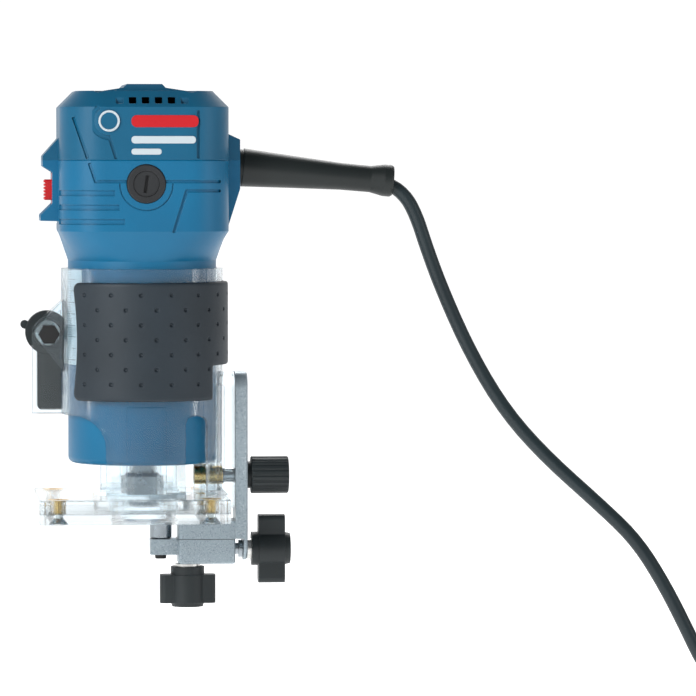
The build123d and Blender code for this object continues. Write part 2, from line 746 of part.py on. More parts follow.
with BuildPart() as base_frame:
    with BuildSketch(Plane.XY.offset(sole_thickness)):
        with Locations((base_centre, 0)):
            RectangleRounded(base_width, base_depth, base_corner)
    extrude(amount=flange_thickness)
    chamfer(base_frame.edges().group_by(Axis.Z)[-1], 0.5)
    with BuildSketch(Plane.XY.offset(sole_thickness)):
        Circle(sleeve_outer)
    extrude(amount=sleeve_top - sole_thickness)
    # feet of the two columns flare into the flange
    with BuildSketch(Plane.XY.offset(flange_top)):
        Circle(sleeve_outer + 2.6)
    extrude(amount=2.6, taper=45)
    # holder on the right side that the guide arm slides against
    with BuildSketch(Plane.YZ.offset(barrel_radius)):
        with Locations((0, (sole_thickness + pillar_top) / 2)):
            Rectangle(2 * pillar_half, pillar_top - sole_thickness)
    extrude(amount=pillar_outer - barrel_radius)
    fillet(base_frame.edges().filter_by(Axis.X).group_by(Axis.Z)[-1], 7.0)
    # clamp lugs at the split: a triangular one in front and a square one behind
    with BuildSketch(Plane.XZ.offset(-lug_front_y)):
        with BuildLine():
            Polyline(
                (-33.0, 98.0), (-47.0, 83.4), (-47.9, 81.6), (-47.0, 79.8), (-33.0, 62.6), close=True,
            )
        make_face()
    extrude(amount=lug_front_y)
    with BuildSketch(Plane.XZ):
        with BuildLine():
            Polyline(
                (-33.0, window_top), (-48.2, window_top), (-48.2, 83.5), (-47.0, 85.0),
                (-33.0, 98.0), close=True,
            )
        make_face()
    extrude(amount=-lug_rear_y)
    with BuildSketch(Plane.XZ.offset(-lug_rear_y)):
        with Locations((clamp_x, clamp_z)):
            Circle(6.4)
    extrude(amount=-10.2)
    # the bore for the motor barrel, and the opening over the bit
    with BuildSketch(Plane.XY.offset(flange_top)):
        Circle(sleeve_bore)
    extrude(amount=sleeve_height, mode=Mode.SUBTRACT)
    with BuildSketch(Plane.XY.offset(sole_thickness)):
        Circle(bit_opening + 8.0)
    extrude(amount=flange_thickness, mode=Mode.SUBTRACT)
    # low ring round the opening
    with BuildSketch(Plane.XY.offset(flange_top)):
        with Locations((ring_centre, 0)):
            Circle(28.7)
            Circle(26.4, mode=Mode.SUBTRACT)
    extrude(amount=0.8)
    # windows: all of the left side below the clamp, and one beside each column on the right
    window_height = window_top - flange_top
    with BuildSketch(Plane.XZ.offset(45)):
        with Locations((-column_half - 20.0, flange_top + window_height / 2)):
            Rectangle(40.0, window_height)
    left_window = extrude(amount=-90, mode=Mode.PRIVATE)
    arch_edge = left_window.edges().filter_by(Axis.Y).sort_by(Axis.X)[-2:].sort_by(Axis.Z)[-1]
    add(left_window.fillet(14.0, [arch_edge]), mode=Mode.SUBTRACT)
    with BuildSketch(Plane.XZ.offset(45)):
        with Locations((column_half + 4.6, flange_top + window_height / 2)):
            Rectangle(9.2, window_height)
    right_window = extrude(amount=-90, mode=Mode.PRIVATE)
    upper_edges = right_window.edges().filter_by(Axis.Y).group_by(Axis.Z)[-1]
    add(right_window.fillet(4.0, upper_edges), mode=Mode.SUBTRACT)
    # rib panel on the front column, and its twin behind
    for side in (1, -1):
        with BuildSketch(Plane.XZ.offset(side * (sleeve_outer + 0.7))):
            with Locations((0, (flange_top + 50.2) / 2)):
                Rectangle(17.0, 50.2 - flange_top)
        rib_block = extrude(amount=-side * 4.0, mode=Mode.PRIVATE)
        with BuildSketch(Plane.XY.offset(flange_top)):
            Circle(sleeve_outer + 0.6)
            Circle(sleeve_outer - 1.0, mode=Mode.SUBTRACT)
        rib_ring = extrude(amount=50.2 - flange_top, mode=Mode.PRIVATE)
        add(rib_block.intersect(rib_ring), mode=Mode.ADD)
    # boss for the guide knob's threaded bush
    with BuildSketch(Plane.YZ.offset(holder_boss_left)):
        with Locations((0, stud_z)):
            Circle(holder_boss_radius)
        with Locations((0, (flange_top + stud_z) / 2)):
            Rectangle(2 * holder_boss_radius, stud_z - flange_top)
    extrude(amount=pillar_outer - holder_boss_left)
    with BuildSketch(Plane.YZ.offset(holder_boss_left - 1)):
        with Locations((0, stud_z)):
            Circle(stud_insert_radius)
    extrude(amount=14.0, mode=Mode.SUBTRACT)
    with BuildSketch(Plane.YZ.offset(holder_boss_left - 1)):
        with Locations((0, stud_z)):
            Circle(stud_radius + 0.3)
    extrude(amount=30.0, mode=Mode.SUBTRACT)
    # open slit between the barrel and the holder
    with BuildSketch(Plane.YZ.offset(barrel_radius - 2.0)):
        with Locations((0, (slit_bottom + slit_top) / 2)):
            Rectangle(2 * pillar_half, slit_top - slit_bottom)
    extrude(amount=sleeve_outer - barrel_radius + 2.0, mode=Mode.SUBTRACT)
    # clamp split, bolt hole, hexagonal recess and lightening pockets
    with BuildSketch(Plane.XY.offset(window_top - 1)):
        with Locations((-42.0, 0)):
            Rectangle(26.0, split_gap)
    extrude(amount=sleeve_top, mode=Mode.SUBTRACT)
    with BuildSketch(Plane.XZ.offset(20)):
        with Locations((clamp_x, clamp_z)):
            Circle(clamp_bolt_radius + 0.2)
    extrude(amount=-40, mode=Mode.SUBTRACT)
    with BuildSketch(Plane.XZ.offset(-lug_front_y)):
        with Locations((clamp_x, clamp_z)):
            RegularPolygon(clamp_head_flats / 2 + 0.1, 6, major_radius=False)
    extrude(amount=-4.0, mode=Mode.SUBTRACT)
    with BuildSketch(Plane.XZ.offset(-lug_front_y)):
        with BuildLine():
            Polyline((-36.0, 91.6), (-36.0, 87.2), (-41.4, 86.8), close=True)
        make_face()
        with BuildLine():
            Polyline((-36.0, 70.0), (-36.0, 74.6), (-41.2, 74.8), close=True)
        make_face()
    extrude(amount=-2.6, mode=Mode.SUBTRACT)
    # holes for the brass bushes
    with BuildSketch(Plane.XY.offset(sole_thickness)):
        with Locations(*insert_spots):
            Circle(insert_radius)
    extrude(amount=flange_thickness, mode=Mode.SUBTRACT)
    with BuildSketch(Plane.XY.offset(flange_top - rim_height)):
        with Locations(*insert_spots):
            Circle(rim_radius)
    extrude(amount=rim_height + 0.6, mode=Mode.SUBTRACT)
write_piece(base_frame.part, "base_frame")

sole_screw_radius = 1.9
sole_head_radius = 4.0
with BuildPart() as sole_plate:
    with BuildSketch():
        with Locations((base_centre, 0)):
            RectangleRounded(base_width, base_depth, base_corner)
        Circle(bit_opening, mode=Mode.SUBTRACT)
    extrude(amount=sole_thickness)
    lower_circles = sole_plate.edges().group_by(Axis.Z)[0].filter_by(GeomType.CIRCLE)
    chamfer(lower_circles.sort_by(SortBy.RADIUS)[-1:], 1.0)
    with BuildSketch():
        with Locations(*insert_spots):
            Circle(sole_screw_radius + 0.2)
    extrude(amount=sole_thickness, mode=Mode.SUBTRACT)
    with BuildSketch():
        with Locations(*insert_spots):
            Circle(sole_head_radius + 0.3)
    extrude(amount=2.6, taper=40, mode=Mode.SUBTRACT)
write_piece(sole_plate.part, "sole_plate")

with BuildPart() as brass_bushes:
    with BuildSketch(Plane.XY.offset(sole_thickness)):
        with Locations(*insert_spots):
            Circle(insert_radius)
    extrude(amount=flange_thickness)
    with BuildSketch(Plane.XY.offset(flange_top - rim_height)):
        with Locations(*insert_spots):
            Circle(rim_radius)
    extrude(amount=rim_height)
    with BuildSketch(Plane.XY.offset(sole_thickness)):
        with Locations(*insert_spots):
            Circle(sole_screw_radius + 0.05)
    extrude(amount=flange_thickness, mode=Mode.SUBTRACT)
write_piece(brass_bushes.part, "brass_bushes")

with BuildPart() as sole_screws:
    with BuildSketch(Plane.XY.offset(0.3)):
        with Locations(*insert_spots):
            Circle(sole_head_radius)
    extrude(amount=2.2, taper=40)
    with BuildSketch(Plane.XY.offset(0.3)):
        with Locations(*insert_spots):
            Circle(sole_screw_radius)
    extrude(amount=9.4)
    with BuildSketch(Plane.XY.offset(0.3)):
        with Locations(*insert_spots):
            Rectangle(4.4, 0.9)
            Rectangle(0.9, 4.4)
    extrude(amount=1.1, mode=Mode.SUBTRACT)
write_piece(sole_screws.part, "sole_screws")

stud_bush = tube_piece(
    Plane(origin=(holder_boss_left + 0.2, 0, stud_z), x_dir=(0, 1, 0), z_dir=(1, 0, 0)),
    stud_insert_radius, stud_radius + thread_gap, 12.4,
)
write_piece(stud_bush.part, "stud_bush")

# ---------------------------------------------------------------- rubber grip

notch_half_angle = 30.0
notch_top = pillar_top + 1.6
with BuildPart() as grip_sleeve:
    with BuildSketch(Plane.XY.offset(grip_bottom)):
        Circle(grip_outer)
        Circle(sleeve_outer + 0.05, mode=Mode.SUBTRACT)
        with BuildLine():
            gap_radius = 2 * grip_outer
            gap_x = gap_radius * math.cos(math.radians(grip_half_angle))
            gap_y = gap_radius * math.sin(math.radians(grip_half_angle))
            Polyline(
                (0, 0), (gap_x, gap_y), (-gap_radius, gap_y), (-gap_radius, -gap_y), (gap_x, -gap_y),
                close=True,
            )
        make_face(mode=Mode.SUBTRACT)
    extrude(amount=grip_height)
    with BuildSketch(Plane.XY.offset(grip_bottom)):
        with BuildLine():
            notch_y = gap_radius * math.tan(math.radians(notch_half_angle))
            Polyline((0, 0), (gap_radius, notch_y), (gap_radius, -notch_y), close=True)
        make_face()
    extrude(amount=notch_top - grip_bottom, mode=Mode.SUBTRACT)
write_piece(grip_sleeve.part, "grip_sleeve")

# ---------------------------------------------------------------- clamp bolt and lever

boss_end_y = lug_rear_y + 10.2
washer_y = boss_end_y + 0.02
lever_y = washer_y + 1.3
lever_thickness = 7.6
lever_bottom = 46.8
bolt_plane = Plane(origin=(clamp_x, 0, clamp_z), x_dir=(1, 0, 0), z_dir=(0, 1, 0))
with BuildPart() as clamp_bolt:
    with BuildSketch(bolt_plane.offset(lug_front_y + 0.4)):
        RegularPolygon(clamp_head_flats / 2, 6, major_radius=False)
    extrude(amount=3.6)
    with BuildSketch(bolt_plane.offset(lug_front_y + 0.4)):
        Circle(clamp_bolt_radius)
    extrude(amount=lever_y + lever_thickness + 4.4 - lug_front_y)
write_piece(clamp_bolt.part, "clamp_bolt")

clamp_washer = tube_piece(bolt_plane.offset(washer_y), 5.4, clamp_bolt_radius + 0.05, 1.0)
write_piece(clamp_washer.part, "clamp_washer")

with BuildPart() as clamp_nut:
    with BuildSketch(bolt_plane.offset(lever_y + lever_thickness + 0.3)):
        RegularPolygon(clamp_head_flats / 2, 6, major_radius=False)
        Circle(clamp_bolt_radius + 0.05, mode=Mode.SUBTRACT)
    extrude(amount=4.0)
write_piece(clamp_nut.part, "clamp_nut")

with BuildPart() as clamp_lever:
    with BuildSketch(bolt_plane.offset(lever_y)):
        Circle(lever_hub_radius)
    extrude(amount=lever_thickness)
    with BuildSketch(Plane.XZ.offset(-lever_y - 1.2)):
        with BuildLine():
            Polyline(
                (clamp_x + 1.9 - lever_width / 2, clamp_z), (clamp_x + 1.9 + lever_width / 2, clamp_z),
                (clamp_x + 1.9 + lever_width / 2, lever_bottom),
                (clamp_x + 1.9 - lever_width / 2, lever_bottom),
                close=True,
            )
        make_face()
    extrude(amount=-lever_thickness + 1.2)
    fillet(clamp_lever.edges().filter_by(Axis.Y).group_by(Axis.Z)[0], 2.0)
    with BuildSketch(bolt_plane.offset(lever_y + 2)):
        with Locations(Location((-lever_hub_radius - 0.2, -3.4))):
            Circle(1.9)
    extrude(amount=lever_thickness - 2.6)
    with BuildSketch(bolt_plane.offset(lever_y)):
        Circle(clamp_bolt_radius + pivot_gap)
    extrude(amount=lever_thickness, mode=Mode.SUBTRACT)
write_piece(clamp_lever.part, "clamp_lever")

# ---------------------------------------------------------------- guide arm and its knob

lug_bottom = -18.7
lug_thickness = 1.7
foot_half = 8.4
block_gap = 0.2
with BuildPart() as guide_arm:
    with BuildSketch(Plane.YZ.offset(arm_inner)):
        with Locations((0, (pillar_top + lug_bottom) / 2)):
            RectangleRounded(2 * pillar_half, pillar_top - lug_bottom, 7.0)
    extrude(amount=arm_thickness)
    with BuildSketch(Plane.YZ.offset(arm_outer - 1.4)):
        with Locations((0, stud_z + arm_travel / 2)):
            SlotOverall(arm_travel + 17.0, 12.6, rotation=90)
    extrude(amount=2.0, mode=Mode.SUBTRACT)
    with BuildSketch(Plane.YZ.offset(arm_inner)):
        with Locations((0, stud_z + arm_travel / 2)):
            SlotOverall(arm_travel + 2 * stud_radius + 0.6, 2 * stud_radius + 0.6, rotation=90)
    extrude(amount=arm_thickness, mode=Mode.SUBTRACT)
    # foot that reaches under the sole
    with BuildSketch(Plane.XY.offset(foot_bottom)):
        with Locations(((foot_left + arm_outer - 1.0) / 2, 0)):
            RectangleRounded(arm_outer - 1.0 - foot_left, 2 * foot_half, 2.0)
    extrude(amount=-foot_clearance - foot_bottom)
    # the lower end is a thin lug for the adjusting screw
    with BuildSketch(Plane.XZ.offset(pillar_half + 1)):
        with Locations(((arm_inner + arm_outer - lug_thickness) / 2 - 5, foot_bottom - 10)):
            Rectangle(arm_outer - lug_thickness - arm_inner + 10, 20.0)
    extrude(amount=-2 * pillar_half - 2, mode=Mode.SUBTRACT)
    with BuildSketch(Plane.YZ.offset(arm_outer - 5)):
        with Locations((0, adjust_z)):
            Circle(screw_radius + pivot_gap)
    extrude(amount=10, mode=Mode.SUBTRACT)
    with BuildSketch(Plane.XY.offset(foot_bottom)):
        with Locations((lock_x, 0)):
            Circle(screw_radius + pivot_gap)
    extrude(amount=-foot_bottom, mode=Mode.SUBTRACT)
    chamfer(guide_arm.faces().sort_by(Axis.X)[-1].outer_wire().edges(), 0.7)
write_piece(guide_arm.part, "guide_arm")

knob_neck_radius = 5.9
knob_radius = 8.15
knob_start = arm_outer + 0.35
stud_plane = Plane(origin=(0, 0, stud_z), x_dir=(0, 1, 0), z_dir=(1, 0, 0))
with BuildPart() as arm_knob:
    add(turned(stud_plane.offset(knob_start), [
        (0, knob_neck_radius), (1.6, knob_neck_radius), (1.6, knob_radius - 0.3), (1.9, knob_radius),
        (17.6, knob_radius), (18.0, knob_radius - 0.4),
    ]).part)
    with BuildSketch(stud_plane.offset(knob_start + 1.6)):
        with PolarLocations(knob_radius + 0.15, 20):
            Circle(0.55)
    extrude(amount=16.4, mode=Mode.SUBTRACT)
    with BuildSketch(stud_plane.offset(knob_start)):
        Circle(stud_radius)
    extrude(amount=13.0, mode=Mode.SUBTRACT)
write_piece(arm_knob.part, "arm_knob")

with BuildPart() as arm_stud:
    with BuildSketch(stud_plane.offset(holder_boss_left + 0.9)):
        Circle(stud_radius)
    extrude(amount=knob_start + 13.0 - holder_boss_left - 0.9)
    chamfer(arm_stud.faces().sort_by(Axis.X)[0].edges(), 0.5)
write_piece(arm_stud.part, "arm_stud")

# ---------------------------------------------------------------- roller block and roller

block_top = foot_bottom - block_gap
thin_bottom = -16.1
thin_left = roller_x - 4.8
slot_left = lock_x - screw_radius - 0.3
slot_right = lock_x + screw_radius + block_travel + 0.3
with BuildPart() as roller_block:
    with BuildSketch(Plane.XY.offset(block_bottom)):
        with Locations(((foot_left + arm_inner) / 2, 0)):
            RectangleRounded(arm_inner - foot_left, 2 * foot_half, 1.6)
    extrude(amount=block_top - block_bottom)
    with BuildSketch(Plane.XY.offset(thin_bottom)):
        with Locations(((thin_left + foot_left + 4) / 2, 0)):
            RectangleRounded(foot_left + 4 - thin_left, 10.4, 2.0)
    extrude(amount=block_top - thin_bottom)
    with BuildSketch(Plane.XY.offset(block_bottom)):
        with Locations(((slot_left + slot_right) / 2, 0)):
            SlotOverall(slot_right - slot_left, 2 * screw_radius + 0.6)
    extrude(amount=block_top - block_bottom, mode=Mode.SUBTRACT)
    with BuildSketch(Plane.YZ.offset(slot_right - 3.5)):
        with Locations((0, adjust_z)):
            Circle(screw_radius + pivot_gap)
    extrude(amount=arm_inner, mode=Mode.SUBTRACT)
    with BuildSketch(Plane.XY.offset(thin_bottom)):
        with Locations((roller_x, 0)):
            Circle(roller_pin_radius + 0.02)
    extrude(amount=block_top - thin_bottom, mode=Mode.SUBTRACT)
    chamfer(roller_block.faces().sort_by(Axis.Z)[0].outer_wire().edges(), 0.6)
write_piece(roller_block.part, "roller_block")

roller_height = 7.8
roller_low = block_top + 0.25
with BuildPart() as roller:
    add(turned(Plane(origin=(roller_x, 0, 0)), [
        (roller_low, roller_radius - 0.4), (roller_low + 0.4, roller_radius),
        (roller_low + roller_height - 0.4, roller_radius),
        (roller_low + roller_height, roller_radius - 0.4),
    ]).part)
    with BuildSketch(Plane.XY.offset(roller_low)):
        with Locations((roller_x, 0)):
            Circle(roller_pin_radius + 0.05)
    extrude(amount=roller_height, mode=Mode.SUBTRACT)
    with BuildSketch(Plane.XY.offset(roller_low + roller_height - 1.2)):
        with Locations((roller_x, 0)):
            Circle(3.2)
    extrude(amount=2, mode=Mode.SUBTRACT)
write_piece(roller.part, "roller")

with BuildPart() as roller_pin:
    add(turned(Plane(origin=(roller_x, 0, 0)), [
        (thin_bottom - 1.9, 2.4), (thin_bottom - 0.05, 2.6), (thin_bottom - 0.05, roller_pin_radius),
        (roller_low + roller_height - 1.05, roller_pin_radius), (roller_low + roller_height - 1.05, 2.7),
        (roller_low + roller_height - 0.3, 2.4),
    ]).part)
write_piece(roller_pin.part, "roller_pin")


def wing_knob(plane, hub_radius, hub_length, wing_half, wing_width, wing_length, cap_radius, cap_length):
    """A two-winged knob: a hub against the work, two wings across it and a round cap."""
    with BuildPart() as knob:
        with BuildSketch(plane):
            Circle(hub_radius)
        extrude(amount=hub_length)
        with BuildSketch(plane.offset(hub_length)):
            RectangleRounded(2 * wing_half, wing_width, 2.4)
            Circle(hub_radius + 0.4)
        extrude(amount=wing_length)
        with BuildSketch(plane.offset(hub_length + wing_length)):
            Circle(cap_radius)
        extrude(amount=cap_length, taper=12)
        with BuildSketch(plane):
            Circle(screw_radius)
        extrude(amount=hub_length + wing_length - 3.0, mode=Mode.SUBTRACT)
    return knob


adjust_plane = Plane(origin=(0, 0, adjust_z), x_dir=(0, 0, 1), z_dir=(1, 0, 0))
bush_end = arm_outer + 2.1
adjust_knob = wing_knob(adjust_plane.offset(bush_end + 0.05), 7.4, 3.0, 15.0, 9.0, 11.6, 7.2, 2.4)
write_piece(adjust_knob.part, "adjust_knob")

with BuildPart() as adjust_screw:
    with BuildSketch(adjust_plane.offset(25.5)):
        Circle(screw_radius)
    extrude(amount=bush_end + 11.6 - 25.5)
    with BuildSketch(adjust_plane.offset(arm_outer - lug_thickness - 1.9)):
        Circle(screw_radius + 1.3)
    extrude(amount=1.7)
write_piece(adjust_screw.part, "adjust_screw")

adjust_bush = tube_piece(
    adjust_plane.offset(arm_outer + 0.15), 4.5, screw_radius + 0.05, bush_end - arm_outer - 0.2,
)
write_piece(adjust_bush.part, "adjust_bush")

lock_plane = Plane(origin=(lock_x, 0, 0), x_dir=(1, 0, 0), z_dir=(0, 0, -1))
lock_washer = tube_piece(lock_plane.offset(-block_bottom + 0.25), 5.6, screw_radius + 0.05, 1.2)
write_piece(lock_washer.part, "lock_washer")
lock_knob = wing_knob(lock_plane.offset(-block_bottom + 1.5), 7.4, 3.6, 12.2, 9.0, 12.4, 7.2, 1.6)
write_piece(lock_knob.part, "lock_knob")
with BuildPart() as lock_bolt:
    with BuildSketch(lock_plane.offset(foot_clearance + 1.2)):
        Circle(screw_radius)
    extrude(amount=-block_bottom + 1.5 + 12.8 - foot_clearance - 1.2)
write_piece(lock_bolt.part, "lock_bolt")

# ---------------------------------------------------------------- depth scale

scale_thickness = 0.12
scale_low = 68.0
scale_high = 109.4
with BuildPart() as depth_scale:
    with BuildSketch(Plane.XY.offset(scale_low)):
        with BuildLine():
            scale_inner = CenterArc((0, 0), barrel_radius + 0.02, 184, 32)
            scale_outer = CenterArc((0, 0), barrel_radius + 0.02 + scale_thickness, 184, 32)
            Line(scale_inner @ 0, scale_outer @ 0)
            Line(scale_inner @ 1, scale_outer @ 1)
        make_face()
    extrude(amount=scale_high - scale_low)
write_piece(depth_scale.part, "depth_scale")

# ---------------------------------------------------------------- strain relief, cord, coil and plug

slope = math.radians(relief_slope)
relief_plane = Plane(
    origin=(head_width / 2 - 1.0, 0, relief_root_z + 0.34), x_dir=(0, 1, 0),
    z_dir=(math.cos(slope), 0, math.sin(slope)),
)
relief_end = relief_length + 7.0
with BuildPart() as strain_relief:
    add(turned(relief_plane, [
        (-5.6, relief_root_radius + 1.2), (-3.2, relief_root_radius + 1.2),
        (-3.2, relief_root_radius - 0.5),
        (8.4, relief_root_radius - 0.5), (8.4, relief_root_radius), (30.0, relief_root_radius - 1.3),
        (52.0, relief_tip_radius + 0.1), (relief_end - 10.0, relief_tip_radius),
        (relief_end - 4.0, relief_bell_radius), (relief_end - 1.0, relief_bell_radius),
        (relief_end, relief_bell_radius - 0.6),
    ]).part)
    add(turned(relief_plane, [
        (relief_end - relief_recess, cord_radius + 0.35), (relief_end + 0.5, relief_bell_radius - 0.75),
    ]).part, mode=Mode.SUBTRACT)
write_piece(strain_relief.part, "strain_relief")

cord_points = [
    (98.9, 0.0, 148.8), (108.3, 0.0, 147.2), (116.5, 0.0, 141.2), (121.3, -0.4, 131.6),
    (125.2, -1.0, 119.2), (131.7, -2.2, 101.1), (143.5, -5.0, 73.8), (158.4, -9.0, 47.7),
    (176.2, -13.5, 27.1), (200.4, -19.5, 5.2), (215.7, -23.2, -9.7), (227.3, -26.8, -28.6),
    (236.5, -29.6, -47.2), (244.4, -31.8, -64.3), (256.5, -33.0, -79.0), (273.4, -33.2, -84.7),
]


def round_cord(points, radius):
    """A cord along straight runs joined by the largest arcs that the runs leave room for."""
    vectors = [Vector(*point) for point in points]
    runs = [(b - a).length for a, b in zip(vectors, vectors[1:])]
    turns = [
        (b - a).get_angle(c - b) for a, b, c in zip(vectors, vectors[1:], vectors[2:])
    ]
    radii = [
        0.45 * min(before, after) / math.tan(math.radians(turn / 2))
        for before, after, turn in zip(runs, runs[1:], turns)
    ]
    print("cord runs", [round(run, 1) for run in runs])
    print("cord turns", [round(turn, 1) for turn in turns])
    print("cord radii", [round(value, 1) for value in radii])
    with BuildPart() as cord:
        with BuildLine() as route:
            FilletPolyline(*points, radius=radii)
        with BuildSketch(Plane(origin=points[0], z_dir=vectors[1] - vectors[0])):
            Circle(radius)
        sweep(path=route.line)
    length = sum(edge.length for edge in route.edges())
    ratio = cord.part.volume / (math.pi * radius**2 * length)
    print("cord length", round(length, 1), "volume ratio", round(ratio, 4))
    return cord


power_cord = round_cord(cord_points, cord_radius)
write_piece(power_cord.part, "power_cord")

turn_pitch = 2 * cord_radius + 0.1
coil_bottom = floor_z + tie_thickness + 0.3
coil_height = turn_pitch * coil_layers + 0.2
coil_half_width = turn_pitch + cord_radius + 0.15
coil_outer = coil_mid_radius + coil_half_width
coil_inner = coil_mid_radius - coil_half_width
with BuildPart() as cord_coil:
    with BuildSketch(Plane.XY.offset(coil_bottom)):
        with Locations(coil_centre):
            Circle(coil_outer)
            Circle(coil_inner, mode=Mode.SUBTRACT)
    extrude(amount=coil_height)
    fillet(cord_coil.edges(), 2.2)
write_piece(cord_coil.part, "cord_coil")

tie_spot_x = coil_centre[0] - coil_mid_radius
tie_room = 0.5
tie_inside_width = coil_outer - coil_inner + 2 * tie_room
with BuildPart() as cord_tie:
    with BuildSketch(Plane.XZ.offset(-coil_centre[1] + 5.0)):
        with Locations((tie_spot_x, coil_bottom + coil_height / 2)):
            RectangleRounded(
                tie_inside_width + 2 * tie_thickness, coil_height + 0.5 + 2 * tie_thickness, 2.6,
            )
            RectangleRounded(tie_inside_width, coil_height + 0.5, 1.4, mode=Mode.SUBTRACT)
    extrude(amount=-10.0)
write_piece(cord_tie.part, "cord_tie")

lead_x = coil_centre[0] + 24.0
lead_y = coil_centre[1] - coil_mid_radius - turn_pitch
lead_z = coil_bottom + cord_radius + 0.1
plug_axis_z = floor_z + 8.9
lead_points = [
    (lead_x, lead_y, lead_z), (lead_x + 11.0, lead_y + 0.5, lead_z + 0.3),
    (lead_x + 22.0, lead_y + 2.0, lead_z + 2.2), (lead_x + 32.0, lead_y + 4.1, plug_axis_z),
]
plug_lead = round_cord(lead_points, cord_radius)
write_piece(plug_lead.part, "plug_lead")

plug_turn = math.radians(12.0)
plug_plane = Plane(
    origin=lead_points[-1], x_dir=(-math.sin(plug_turn), math.cos(plug_turn), 0),
    z_dir=(math.cos(plug_turn), math.sin(plug_turn), 0),
)
plug_length = 44.0
with BuildPart() as mains_plug:
    with BuildSketch(plug_plane.offset(0.9)):
        Circle(4.6)
    with BuildSketch(plug_plane.offset(16.0)):
        Ellipse(7.0, 6.4)
    with BuildSketch(plug_plane.offset(26.0)):
        Ellipse(15.0, 8.2)
    with BuildSketch(plug_plane.offset(plug_length)):
        Ellipse(17.6, 8.6)
    loft()
    with BuildSketch(plug_plane.offset(plug_length - 9.0)):
        with Locations((-9.5, 0), (9.5, 0)):
            Circle(pin_radius)
    extrude(amount=12.0, mode=Mode.SUBTRACT)
write_piece(mains_plug.part, "mains_plug")

with BuildPart() as plug_pins:
    with BuildSketch(plug_plane.offset(plug_length - 9.0)):
        with Locations((-9.5, 0), (9.5, 0)):
            Circle(pin_radius)
    extrude(amount=9.0 + 19.0)
    fillet(plug_pins.faces().sort_by(Axis((0, 0, 0), tuple(plug_plane.z_dir)))[-2:].edges(), 1.0)
write_piece(plug_pins.part, "plug_pins")

cable_clamp_plane = Plane(origin=(head_width / 2 - 12.0, 0, seam_z - 7.0))
with BuildPart() as cable_clamp:
    with BuildSketch(cable_clamp_plane):
        RectangleRounded(7.0, 22.0, 1.5)
    extrude(amount=2.4)
    with BuildSketch(cable_clamp_plane.offset(2.4)):
        with Locations((0, -8.5), (0, 8.5)):
            Circle(2.2)
    extrude(amount=2.0)
write_piece(cable_clamp.part, "cable_clamp")
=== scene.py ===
# %% [markdown]
# # A trim router in a clear base
# This lesson dresses a finished CAD model of a trim router. The CAD nodes arrive as a fixed frame
# in metres: the spindle axis is the Z axis, the sole is the plane z = 0, the front faces -Y and
# the cable leaves to the right, along +X. We add what CAD leaves plain, such as the cable, the
# dimpled grip and the printed marks, and give every piece its material.

import math

import bpy
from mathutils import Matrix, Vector


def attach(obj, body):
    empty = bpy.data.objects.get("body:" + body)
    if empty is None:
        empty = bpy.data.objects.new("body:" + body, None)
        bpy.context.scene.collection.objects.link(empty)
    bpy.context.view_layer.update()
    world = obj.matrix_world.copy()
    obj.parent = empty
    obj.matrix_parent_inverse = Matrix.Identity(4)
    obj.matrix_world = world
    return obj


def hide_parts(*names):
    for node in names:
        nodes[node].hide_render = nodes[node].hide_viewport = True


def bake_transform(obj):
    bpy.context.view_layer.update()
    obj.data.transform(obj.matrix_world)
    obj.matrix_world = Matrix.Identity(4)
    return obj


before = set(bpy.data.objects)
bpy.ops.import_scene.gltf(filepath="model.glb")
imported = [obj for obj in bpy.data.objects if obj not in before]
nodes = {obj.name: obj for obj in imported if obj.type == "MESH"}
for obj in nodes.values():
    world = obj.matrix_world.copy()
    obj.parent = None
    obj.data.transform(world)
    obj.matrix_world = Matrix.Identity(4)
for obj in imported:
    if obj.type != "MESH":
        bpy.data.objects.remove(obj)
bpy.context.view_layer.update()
MM = 0.001

# %% [markdown]
# The camera looks slightly down from the front, a little from the left, as a catalogue picture
# does. A long lens from two metres keeps the upright lines upright.

# %% Camera
CAMERA_PLACE = Vector((-0.1113, -2.0990, 0.1600))
CAMERA_TARGET = Vector((0.08993, -0.00866, 0.0746))
lens_data = bpy.data.cameras.new("catalogue_camera")
lens_data.lens = 247.7
lens_data.sensor_width = 36.0
camera = bpy.data.objects.new("catalogue_camera", lens_data)
bpy.context.scene.collection.objects.link(camera)
camera.location = CAMERA_PLACE
camera.rotation_euler = (CAMERA_TARGET - CAMERA_PLACE).to_track_quat("-Z", "Y").to_euler()
bpy.context.scene.camera = camera
print("camera distance", round((CAMERA_TARGET - CAMERA_PLACE).length, 3))

# %% [markdown]
# ## The cable
# The cable is a round PVC cord. It leaves the strain relief, falls in a loose S to the right, and
# its spare length lies in a neat tied coil. One smooth NURBS line carries all of it: the listed
# points of the falling stretch, then the turns of the coil, worked out by a loop, then the lead
# to the plug. A circle drawn by such a line shrinks a little, so the turns are drawn larger.

# %% Route of the cable
CORD_RADIUS = 3.15
FALL_POINTS = [
    (98.9, 0.0, 148.8), (108.3, 0.0, 147.2), (116.5, 0.0, 141.2), (121.3, -0.4, 131.6),
    (125.2, -1.0, 119.2), (131.7, -2.2, 101.1), (143.5, -5.0, 73.8), (158.4, -9.0, 47.7),
    (176.2, -13.5, 27.1), (200.4, -19.5, 5.2), (215.7, -23.2, -9.7), (227.3, -26.8, -28.6),
    (236.5, -29.6, -47.2), (244.4, -31.8, -64.3), (256.5, -33.0, -79.0), (273.4, -33.2, -84.7),
]
COIL_CENTRE = (296.0, 5.0)
COIL_MID_RADIUS = 31.8
TURN_PITCH = 2 * CORD_RADIUS + 0.1
TOP_TURN_Z = -85.0
TURNS_PER_LAYER = 2
COIL_LAYERS = 4
POINTS_PER_TURN = 24
LAYER_CHANGE_TURNS = 0.09
LEAD_POINTS = [
    (309.0, -33.2, -104.25), (320.0, -33.2, -104.25), (331.0, -32.7, -103.95),
    (342.0, -31.2, -102.05), (352.0, -29.1, -100.1),
]


